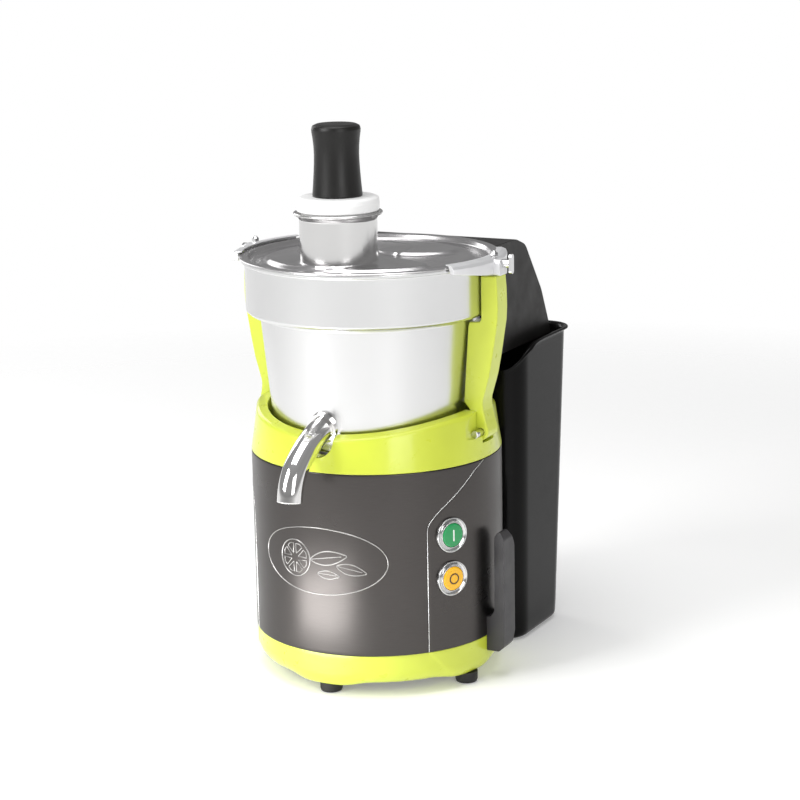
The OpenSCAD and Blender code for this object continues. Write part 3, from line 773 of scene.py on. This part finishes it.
collar = finish_mesh("top_housing_shell", *grid_data(collar_rows(), close_i=True, close_j=True), lime.m, "base", "top_housing", "lime_paint", 30)
cuts = [box_data((-200, Y_BACK, 200), (200, 260, 400))]
notch = fil([(-17.5, 330), (-17.5, 263.5, 17.4), (17.5, 263.5, 17.4), (17.5, 330)], True, 12)
cuts.append(prism(notch, -170, -90, "y"))
for s in (1, -1):
    cuts.append(box_data((min(s * 110, s * 152), -7.5, PIV.z - 11.6), (max(s * 110, s * 152), 19.5, 345)))
    px, pz = PIV.x, PIV.z
    v = fil([(px - 4.3, 335), (px - 4.3, pz - 4.3, 4.2), (px + 4.3, pz - 4.3, 4.2), (px + 4.3, 335)], True, 8)
    cuts.append(prism([(s * x, z) for x, z in v], -50, -7, "y"))
    cuts.append(rod_data((s * px, 10, pz), (0, 1, 0), 4.05, 16.3))
cut(collar, cuts)
m_bevel(0.9, 3, 38)(collar)
m_weighted(collar)

# ---------------------------------------------------------------- bowl
def bowl_profile():
    z0, z1 = Z_BOWL0, Z_BOWL1
    out = [(20, z0 + 0.1), (98.4, z0 + 0.1, 4), (106.7, z0 + 6.5, 6), (107.6, z0 + 12), (119.8, 397.5, 3.2), (122.4, 400.9, 2.2), (131, 401.3, 4.0), (134.9, 404.8, 3.0),
           (134.9, 456.2, 2.0), (138.8, 457.6, 0.9), (138.8, z1, 0.9)]
    inn = [(133.4, z1, 0.8), (133.4, 406.2, 2.4), (130.5, 402.9, 2.4), (121.6, 402.4, 3), (118.3, 398.8, 2), (106.1, z0 + 13), (102.6, z0 + 4, 5), (97.6, z0 + 1.7, 2),
           (21.6, z0 + 1.7, 1.0), (21.6, z0 + 25.6, 0.7), (20, z0 + 25.6, 0.6)]
    return fil(out + inn, True, 6)


bowl = finish_mesh("bowl_shell", *revolve_data(bowl_profile(), 256), bowl_steel.m, "base", "bowl", "polished_steel", 34)
cut(bowl, [box_data((-56, 108, 408), (56, 150, 452)), rod_data((0, -110 + 10 * math.cos(math.radians(15)), 293.2 + 10 * math.sin(math.radians(15))), (0, -math.cos(math.radians(15)), -math.sin(math.radians(15))), 11.6, 20)])

# ---------------------------------------------------------------- spout
def spout_path():
    pts = []
    p = np.array([-110.0, 293.2])
    a = 15.0
    pts.append((p.copy(), a))
    def step(p, a, ds):
        return p + np.array([-math.cos(math.radians(a)), -math.sin(math.radians(a))]) * ds
    for _ in range(3):
        p = step(p, a, 1.9)
        pts.append((p.copy(), a))
    n = 22
    ds = 140 * math.radians(23) / n
    for k in range(n):
        p = step(p, a + 23 / n * 0.5, ds)
        a += 23 / n
        pts.append((p.copy(), a))
    n = 22
    ds = 50 * math.radians(42) / n
    for k in range(n):
        p = step(p, a + 42 / n * 0.5, ds)
        a += 42 / n
        pts.append((p.copy(), a))
    for _ in range(5):
        p = step(p, a, 1.4)
        pts.append((p.copy(), a))
    return pts


def tube_rows(path, radius, n=72):
    rows = []
    for p, a in path:
        h = Vector((0, -math.cos(math.radians(a)), -math.sin(math.radians(a))))
        up = Vector((1, 0, 0)).cross(h)
        rows.append([tuple(Vector((0, p[0], p[1])) + Vector((1, 0, 0)) * radius * math.cos(2 * math.pi * k / n) + up * radius * math.sin(2 * math.pi * k / n)) for k in range(n)])
    return rows


path = spout_path()
outer = tube_rows(path[:-1], 13.45)
endp, ea = path[-1]
lip = []
for dr, back in ((13.45, 0.5), (13.15, 0.12), (12.65, 0.0), (12.15, 0.12), (11.9, 0.5)):
    q = endp - np.array([-math.cos(math.radians(ea)), -math.sin(math.radians(ea))]) * back
    lip += tube_rows([(q, ea)], dr)
inner = tube_rows(path[:-1], 11.85)[::-1]
spout = finish_mesh("spout_pipe", *grid_data(outer + lip + inner, close_i=True, close_j=True), spout_steel.m, "base", "spout", "polished_steel", 40)

# ---------------------------------------------------------------- lid
def lid_height(x, y):
    """Top surface of the pan, from the bowl axis."""
    r = math.hypot(x, y)
    z = 0.0
    base = Z_RIM - 5.6                                     # pan floor
    # outer slope, then a shallow dished ring and a low step to the middle
    if r > 128.4:
        q = min(1, (r - 128.4) / 3.6)
        z = base + (Z_RIM - 0.2 - base) * (q * q * (3 - 2 * q))
    else:
        z = base - 1.0 * math.exp(-((r - 122) / 3.4) ** 2)
        z += 2.3 * (1 / (1 + math.exp((r - 112.5) / 1.3)))
    # lens-shaped pad round the tube
    def pad(cx, cy, a, b, tilt, h, soft):
        c, s = math.cos(tilt), math.sin(tilt)
        u = ((x - cx) * c + (y - cy) * s) / a
        v = (-(x - cx) * s + (y - cy) * c) / b
        d = (abs(u) ** 2.0 + abs(v) ** 2.0) ** 0.5
        return h / (1 + math.exp((d - 1) * (a + b) / 2 / soft))
    z += pad(6, TY + 4, 92, 46, 0.05, 3.2, 0.8) * (1 / (1 + math.exp((r - 111) / 1.2)))
    z += pad(38, 42, 44, 30, 0.35, 3.5, 0.9)
    z -= 1.1 * math.exp(-((math.hypot(x + 30, y - 30) - 62) / 2.2) ** 2) * (1 / (1 + math.exp((r - 108) / 2))) * 0.7
    # fillet at the foot of the tube
    dt = math.hypot(x, y - TY) - 41.2
    z += 2.6 * math.exp(-max(dt, 0) / 1.6)
    return z


def lid_data():
    I = 288
    rr = [6, 12, 18, 24, 30, 36, 42, 48, 54, 60, 66, 72, 78, 84, 88, 92, 96, 99, 102, 104.5, 106.5, 108.2, 109.6, 110.8, 111.9, 113, 114.2, 115.6, 117, 118.4, 119.8, 121.2, 122.6, 124, 125.4, 126.8, 128.2, 129.0, 129.8, 130.6, 131.4, 132.2]
    rr = sorted(set(list(np.arange(3.0, 104, 1.7)) + rr[18:]))
    top = []
    for r in rr:
        top.append([(r * math.sin(2 * math.pi * i / I), -r * math.cos(2 * math.pi * i / I),
                     lid_height(r * math.sin(2 * math.pi * i / I), -r * math.cos(2 * math.pi * i / I))) for i in range(I)])
    rim = fil([(133.2, Z_RIM - 0.1), (139.9, Z_RIM, 1.2), (R_LID, Z_RIM - 1.0, 0.9), (R_LID - 0.5, Z_RIM - 1.75, 0.6), (134.0, Z_RIM - 1.6, 0.4)], False, 5)
    rows = top + [[(r * math.sin(2 * math.pi * i / I), -r * math.cos(2 * math.pi * i / I), z) for i in range(I)] for r, z in rim]
    under = [(133.0, Z_RIM - 1.9), (131.0, Z_RIM - 7.0), (127, Z_RIM - 7.6)]
    rows += [[(r * math.sin(2 * math.pi * i / I), -r * math.cos(2 * math.pi * i / I), z) for i in range(I)] for r, z in under]
    for row in reversed([q for q, r in zip(top, rr) if r < 125]):
        rows.append([(x, y, min(z - 1.5, Z_RIM - 5.2)) for x, y, z in row])
    v, f = grid_data(rows, close_i=True)
    I0 = I
    f.append(tuple(range(I0))[::-1])
    n = len(v)
    f.append(tuple(range(n - I0, n)))
    return v, f


lid = finish_mesh("lid_pan", *lid_data(), lid_steel.m, "lid_set", "lid", "satin_steel", 40)
cut(lid, [rod_data((0, TY, 440), (0, 0, 1), 41.3, 40, 96)])

prof = fil([(R_TUBE, TUBE0.z), (R_TUBE, Z_TUBE - 7.5, 3.5), (43.8, Z_TUBE - 3.6, 2.5), (46.6, Z_TUBE - 3.0, 1.3), (47.5, Z_TUBE - 1.2, 1.0), (46.3, Z_TUBE, 0.9), (43.8, Z_TUBE - 0.4, 1.6), (39.8, Z_TUBE - 3.5, 2.5), (39.8, TUBE0.z)], True, 6)
finish_mesh("feed_tube_shell", *revolve_data(prof, 160, 0, TY), tube_steel.m, "lid_set", "feed_tube", "polished_steel", 40)

# ---------------------------------------------------------------- pusher
zf = PB1.z
prof = fil([(0, zf - 0.2), (39.5, zf - 0.1, 2.0), (43.2, zf - 1.6, 2.0), (44.1, zf - 6.5, 5), (43.6, zf - 14.6, 1.2), (41.5, zf - 15.5, 0.8), (39, zf - 15.6, 0.6), (38.6, PB0.z, 1.5), (34, PB0.z, 1.2), (34, PB0.z + 35, 1), (0, PB0.z + 35)], True, 6)
finish_mesh("pusher_plug", *revolve_data(prof, 160, 0, TY), white.m, "pusher", "pusher_body", "white_plastic", 40)
z0, z1 = PH0.z, PH1.z
H = z1 - z0
prof = fil([(0, z0), (26.0, z0, 0.8), (26.5, z0 + 1.4, 1.0), (26.2, z0 + 4.0), (25.3, z0 + 14), (24.5, z0 + 25), (23.9, z0 + 36), (23.7, z0 + 44), (24.0, z0 + 53), (24.8, z0 + 61), (25.7, z0 + 67), (25.9, z0 + 70, 3), (25.0, z0 + 73.6, 2.6), (20.5, z0 + 75.6, 4), (0, z1)], True, 6)
finish_mesh("pusher_grip", *revolve_data(prof, 144, 0, TY), grip.m, "pusher", "pusher_handle", "handle_black", 40)

# ---------------------------------------------------------------- arms
def arm_poly():
    px, pz = PIV.x, PIV.z
    lug = [(px + 8.9 * math.cos(a), pz + 8.9 * math.sin(a)) for a in np.linspace(math.pi * 1.02, math.pi * 1.98, 17)]
    body = fil([(px + 8.9, pz + 1.5), (px + 6.0, pz + 12, 6), (137.4, 300, 14), (136.2, 310, 24), (140.3, 324, 40), (144.4, 338, 40), (148.6, 360, 60), (152.0, 381, 60), (154.6, 397, 50), (155.4, 412, 50), (154.9, 432, 60), (153.7, 446.3),
                (136.0, 446.3), (136.0, 400.2, 3.0), (134.0, 396.9, 1.5), (122.2, 395.7, 2.0), (120.7, 391.5, 3.0), (114.7, 308.5, 3.0), (120.6, 301.5, 3), (px - 6.8, pz + 11, 5), (px - 8.9, pz + 1.5)], True, 6)
    return body + lug


for s, side in ((1, "right"), (-1, "left")):
    poly = [(s * x, z) for x, z in arm_poly()]
    a = finish_mesh("arm_plate_" + side, *prism(poly, -6.9, 18.9, "y"), lime.m, side + "_arm", "arm_" + side, "lime_paint", 30)
    cut(a, [rod_data((s * PIV.x, -30, PIV.z), (0, 1, 0), 4.06, 80)])
    m_bevel(3.4, 6, 45)(a)
    m_weighted(a)

# ---------------------------------------------------------------- jaws: curved bars that taper towards both tips
def jaw_data(s):
    rows = []
    n = 61
    for i in range(n):
        d = -27 + 54 * i / (n - 1)
        q = abs(d) / 27
        ro = 150.5 - 1.6 * q ** 2
        zb = 446.8 + 9.6 * q
        zt = 464.5
        sec = fil([(142.0, zb, 0.8), (ro - 0.5, zb, 1.6), (ro, zt - 2.6, 2.0), (147.8, zt, 1.8), (143.2, 466.5, 1.2), (137.4, 466.3, 0.5), (137.4, 465.3, 0.3), (142.0, 464.5)], True, 4)
        row = []
        for r, z in sec:
            dd = d
            if q > 0.9:
                dd = d - math.copysign(2.6 * (1 - (z - 446) / 20) * (q - 0.9) * 10, d)
            t = math.radians(dd)
            row.append((s * r * math.cos(t), r * math.sin(t), z))
        rows.append(row)
    v, f = grid_data(rows, close_i=True)
    k = len(rows[0])
    f += [tuple(range(k))[::-1], tuple(range((n - 1) * k, n * k))]
    head = prism(fil([(-3.8, 446.8, 2), (15.8, 446.8, 2), (15.8, 464, 4.5), (-3.8, 464, 4.5)], True, 6), s * 146.5, s * 156.8, "x")
    return join((v, f), head)


for s, side in ((1, "right"), (-1, "left")):
    jw = finish_mesh("jaw_bar_" + side, *jaw_data(s), cast.m, side + "_arm", "jaw_" + side, "cast_alu", 35)
    m_bevel(0.9, 3, 40)(jw)
    m_weighted(jw)

# thin raised bead along each seam; its bright polished steel against the dark wrap is a painted highlight, standing in
# for the light caught on the seam's edge
for s in (1, -1):
    pts = [(s * math.radians(seam_deg(z)) * R_HOUSE, z) for z in np.linspace(Z_WRAP0 + 0.8, Z_WRAP1 - 0.8, 120)]
    v, f = ribbon(pts, 0.7, 0.3, False)
    finish_mesh("seam_highlight_bead_" + ("right" if s > 0 else "left"), [(x, y, z) for x, y, z in v], f, seam_highlight_steel.m, "base", (), "satin_steel", 60)

# ---------------------------------------------------------------- chute hood
def hood_section(y, inset=0.0):
    """Top height of the hood at y, less the inset."""
    ys = [80, 150, 160, 168, 176, 186, 200, 219, 232, 241.5, 244.5]
    zs = [457.6, 457.6, 456.6, 454.2, 449.8, 441.0, 421.0, 393.0, 369.0, 349.0, 338.0]
    return float(np.interp(y, ys, zs)) - inset


def hood_data():
    top = CH1.z
    zb = CH0.z
    outline = fil([(80, zb + 68), (80, top - 0.1, 2), (153, top - 0.2, 34), (179, 451.5, 22), (223, 393, 60), (247.6, zb + 6, 8), (247.8, zb, 0.6), (114.8, zb, 0.6), (114.8, zb + 68)], True, 10)
    return outline


hood_out = hood_data()
v, f = prism(hood_out, -104.7, 104.7, "x")
chute = finish_mesh("hood_shell", v, f, hood.m, "base", "chute", "matte_dark", 30)
m_bevel(13, 7, 50)(chute)
apply_mods(chute)
inn = fil([(60, CH0.z + 70.5), (60, CH1.z - 3.4), (152, CH1.z - 3.4, 31), (176.5, 448.2, 20), (220, 391.5, 58), (244.4, CH0.z + 3, 6), (244.4, CH0.z - 20), (117.8, CH0.z - 20), (117.8, CH0.z + 70.5)], True, 8)
cut(chute, [prism(inn, -101.4, 101.4, "x"), revolve_data([(0, 269), (108.1, 269), (120.6, 398), (122.1, 398), (122.1, 401), (0, 401)], 200), rod_data((0, 0, 400.9), (0, 0, 1), 135.15, 80, 200), rod_data((0, 0, 456.6), (0, 0, 1), 142.6, 30, 200)])
m_bevel(0.5, 2, 40)(chute)
m_weighted(chute)

# ---------------------------------------------------------------- pulp container
def rr_plan(x, y0, y1, r, n=14):
    """Rounded rectangle, anticlockwise from the middle of the front."""
    pts = []
    def seg(a, b, k):
        for i in range(k):
            t = i / k
            pts.append((a[0] + (b[0] - a[0]) * t, a[1] + (b[1] - a[1]) * t))
    def corner(cx, cy, a0):
        for i in range(n):
            a = math.radians(a0 + 90 * i / n)
            pts.append((cx + r * math.cos(a), cy + r * math.sin(a)))
    seg((0, y0), (x - r, y0), 10)
    corner(x - r, y0 + r, -90)
    seg((x, y0 + r), (x, y1 - r), 40)
    corner(x - r, y1 - r, 0)
    seg((x - r, y1), (-(x - r), y1), 20)
    corner(-(x - r), y1 - r, 90)
    seg((-x, y1 - r), (-x, y0 + r), 40)
    corner(-(x - r), y0 + r, 180)
    seg((-(x - r), y0), (0, y0), 10)
    return pts


def rim_z(y):
    """Height of the rim: high at the back, an S down towards the housing."""
    ys = [100, 114, 116.5, 119, 124, 130, 136, 142, 150, 160, 175, 270]
    zs = [317.8, 317.8, 319.0, 321.5, 327.0, 333.5, 338.6, 342.0, 344.6, 346.0, 346.7, 346.9]
    return float(np.interp(y, ys, zs))


def bin_rows():
    rows = []
    yb0, yb1 = 113.0, 239.6

    def level(q):
        """plan at relative height q: 0 at the bottom, 1 at the rim"""
        return 122.6 + 1.4 * q, yb0, 239.4 + (265.4 - 239.4) * q, 27 + q
    # bottom, then the rounded lower edge
    for ins, z in ((60, 0.25), (30, 0.2), (12, 0.25), (8, 0.5), (5, 1.4), (2.6, 3.0), (1.0, 5.2), (0.2, 8.0)):
        x, a, b, r = level(0)
        rows.append([(p[0], p[1], z) for p in rr_plan(x - ins, a + ins, b - ins, max(r - ins, 2))])
    for q in np.linspace(0.04, 1, 26):
        x, a, b, r = level(q)
        pts = rr_plan(x, a, b, r)
        ref = [rim_z(p[1]) - 9 for p in pts]
        rows.append([(p[0], p[1], 8 + (zt - 8) * q) for p, zt in zip(pts, ref)])
    x, a, b, r = level(1)
    # rolled lip; at the front it hardly stands out, because the housing is close
    prof = [(0.0, -6.0), (0.7, -4.6), (2.2, -3.4), (3.9, -2.9), (4.7, -2.1), (4.8, -1.1), (4.2, -0.3), (3.2, 0.0), (1.6, -0.2), (-0.6, -1.2), (-2.2, -2.8), (-2.9, -5.0)]
    for d, dz in prof:
        pts = rr_plan(x + d, a + (-d if d < 0 else 0), b + d, max(r + d, 2))
        base = rr_plan(x, a, b, r)
        row = []
        for p, q in zip(pts, base):
            k = min(1, max(0, (q[1] - 115) / 24))
            dd = d if d < 0 else d * k
            row.append((q[0] + (p[0] - q[0]) * (1 if d < 0 else k), q[1] + (p[1] - q[1]) * (1 if d < 0 else k), rim_z(q[1]) + dz))
        rows.append(row)
    for q in np.linspace(0.97, 0.05, 24):
        x, a, b, r = level(q)
        pts = rr_plan(x - 2.9, a + 2.9, b - 2.9, r - 2.9)
        ref = [rim_z(p[1]) - 6 for p in pts]
        rows.append([(p[0], p[1], 8 + (zt - 8) * q) for p, zt in zip(pts, ref)])
    for ins, z in ((3.2, 8.0), (4.6, 5.6), (7.0, 4.0), (12, 3.2), (30, 3.0), (60, 3.0)):
        x, a, b, r = level(0)
        rows.append([(p[0], p[1], z) for p in rr_plan(x - ins, a + ins, b - ins, max(r - ins, 2))])
    return rows


rows = bin_rows()
v, f = grid_data(rows, close_i=True)
n = len(rows[0])
f.append(tuple(range(n))[::-1])
f.append(tuple(range(len(v) - n, len(v))))
finish_mesh("pulp_bin", v, f, bin_black.m, "container", "pulp_container", "gloss_black", 50)

# ---------------------------------------------------------------- side hook
h0, h1 = span("side_hook")
poly = fil([(131, h0.z + 0.3), (152, h0.z + 0.3, 3), (158.8, h0.z + 7, 6), (158.8, h1.z - 12, 8), (153.4, h1.z - 0.3, 4), (147.4, h1.z - 10, 7), (146.9, h0.z + 46, 8), (142, h0.z + 39, 3), (131, h0.z + 39)], True, 6)
hk = finish_mesh("hook_body", *prism(poly, -3.8, 23.8, "y"), hook_grey.m, "base", "side_hook", "side_grey", 30)
edge = fil([(7, h1.z + 12), (7, h1.z + 1.0, 4), (13, h1.z - 3, 10), (23.9, h1.z - 22, 14), (24.4, h1.z - 60), (60, h1.z - 60), (60, h1.z + 12)], True, 8)
low = fil([(24.5, h0.z + 30), (24.5, h0.z + 20, 12), (13, h0.z - 3, 12), (13, h0.z - 20), (60, h0.z - 20), (60, h0.z + 30)], True, 8)
house = revolve_data([(0, 0), (R_HOUSE + 0.1, 0), (R_HOUSE + 0.1, 90), (0, 90)], 200, 0, CY)
cut(hk, [house, prism(edge, 120, 170, "x"), prism(low, 120, 170, "x")])
m_bevel(1.3, 4, 32)(hk)
m_weighted(hk)

# ---------------------------------------------------------------- feet
parts = []
for x, y in FEET:
    prof = fil([(5.8, 0.05, 0.4), (11.4, 0.05, 1.4), (12.2, 3, 2), (12.4, 11.95), (3.2, 11.95), (3.2, 4.5), (5.8, 4.5)], True, 4)
    parts.append(revolve_data(prof, 72, x, y))
finish_mesh("feet_pads", *join(*parts), rubber.m, "base", "feet", "foot_rubber", 35)

# ---------------------------------------------------------------- stage, light, camera
fl = bpy.data.meshes.new("floor")
R = 2.6
N = 96
fv = [(AX.x, 0.0, -0.0006)] + [(AX.x + R * math.cos(2 * math.pi * i / N), R * math.sin(2 * math.pi * i / N), -0.0006) for i in range(N)]
fl.from_pydata(fv, [], [(0, 1 + i, 1 + (i + 1) % N) for i in range(N)])
floor = bpy.data.objects.new("floor", fl)
scene.collection.objects.link(floor)
fm = Mat("floor_white", (0.90, 0.90, 0.895), 0.55, Emission_Color=(1, 1, 1, 1), Emission_Strength=0.20)
fm.bump(fm.noise(300), 0.03, 0.0001)
# the sheet fades out at its rim into the white surroundings
ln = fm.node("ShaderNodeVectorMath", operation="LENGTH")
fm.link(fm.co, ln.inputs[0])
fade = fm.rng(ln.outputs["Value"], 0.0, 1.0, 0.9, 2.0)
tr = fm.node("ShaderNodeBsdfTransparent")
mx = fm.node("ShaderNodeMixShader")
fm.link(fade, mx.inputs[0])
fm.link(fm.p.outputs[0], mx.inputs[1])
fm.link(tr.outputs[0], mx.inputs[2])
fm.link(mx.outputs[0], fm.nt.nodes["Material Output"].inputs["Surface"])
fl.materials.append(fm.m)

w = bpy.data.worlds.new("studio")
scene.world = w
w.use_nodes = True
nt = w.node_tree
bg = nt.nodes["Background"]
tc = nt.nodes.new("ShaderNodeTexCoord")
sp = nt.nodes.new("ShaderNodeSeparateXYZ")
nt.links.new(tc.outputs["Generated"], sp.inputs[0])
ramp = nt.nodes.new("ShaderNodeValToRGB")
mr = nt.nodes.new("ShaderNodeMapRange")
mr.inputs["From Min"].default_value = -1
mr.inputs["From Max"].default_value = 1
nt.links.new(sp.outputs["Z"], mr.inputs["Value"])
nt.links.new(mr.outputs["Result"], ramp.inputs["Fac"])
el = ramp.color_ramp.elements
el[0].position, el[0].color = 0.0, (1.3, 1.3, 1.3, 1)
el[1].position, el[1].color = 1.0, (0.50, 0.50, 0.51, 1)
for p, c in ((0.36, 1.45), (0.46, 1.25), (0.50, 0.60), (0.54, 0.34), (0.62, 0.42), (0.80, 0.40)):
    e = el.new(p)
    e.color = (c, c, c, 1)
bg2 = nt.nodes.new("ShaderNodeBackground")
bg2.inputs["Color"].default_value = (1, 1, 1, 1)
bg2.inputs["Strength"].default_value = 1.0
lp = nt.nodes.new("ShaderNodeLightPath")
mix = nt.nodes.new("ShaderNodeMixShader")
nt.links.new(ramp.outputs["Color"], bg.inputs["Color"])
bg.inputs["Strength"].default_value = 0.75
nt.links.new(lp.outputs["Is Camera Ray"], mix.inputs[0])
nt.links.new(bg.outputs[0], mix.inputs[1])
nt.links.new(bg2.outputs[0], mix.inputs[2])
nt.links.new(mix.outputs[0], nt.nodes["World Output"].inputs["Surface"])


def area(name, loc, target, size, power, size_y=None, spread=180):
    d = bpy.data.lights.new(name, "AREA")
    d.shape = "RECTANGLE"
    d.size = size
    d.size_y = size_y or size
    d.energy = power
    d.spread = math.radians(spread)
    o = bpy.data.objects.new(name, d)
    scene.collection.objects.link(o)
    o.location = loc
    o.rotation_euler = (Vector(target) - Vector(loc)).to_track_quat("-Z", "Y").to_euler()
    o.visible_camera = False
    return o


area("key", (-1.15, -2.0, 1.5), (0, 0, 0.3), 1.1, 44, 1.6)
area("fill", (1.7, -1.5, 1.0), (0, 0, 0.3), 0.9, 14, 1.2)
area("top", (0.0, -0.3, 2.2), (0, 0, 0.3), 1.5, 26)
area("rim", (-1.8, 0.9, 1.1), (0, 0, 0.35), 0.7, 7, 1.2)
area("low", (-0.085, -0.37, 0.03), (-0.01, -0.16, 0.06), 0.26, 0.6, 0.08)

AZ, EL, ROLL, DIST = math.radians(27.5), 0.2236, 0.01955, 2.4801
U, ZTGT = 0.03033, 0.2985
T = Vector((U * math.cos(AZ) + AX.x, U * math.sin(AZ) + AX.y, ZTGT))
back = Vector((math.cos(EL) * math.sin(AZ), -math.cos(EL) * math.cos(AZ), math.sin(EL)))
right = Vector((math.cos(AZ), math.sin(AZ), 0))
up = back.cross(right)
r2 = right * math.cos(ROLL) - up * math.sin(ROLL)
u2 = right * math.sin(ROLL) + up * math.cos(ROLL)
cd = bpy.data.cameras.new("camera")
cam = bpy.data.objects.new("camera", cd)
scene.collection.objects.link(cam)
cd.sensor_fit = "HORIZONTAL"
cd.sensor_width = 36
cd.lens = 2260.62 / 800 * 36
M = Matrix(((r2.x, u2.x, back.x, 0), (r2.y, u2.y, back.y, 0), (r2.z, u2.z, back.z, 0), (0, 0, 0, 1)))
cam.matrix_world = Matrix.Translation(T + back * DIST) @ M
cd.clip_end = 50
scene.camera = cam
scene.view_settings.view_transform = "Standard"
scene.view_settings.look = "None"
scene.view_settings.exposure = 0.0
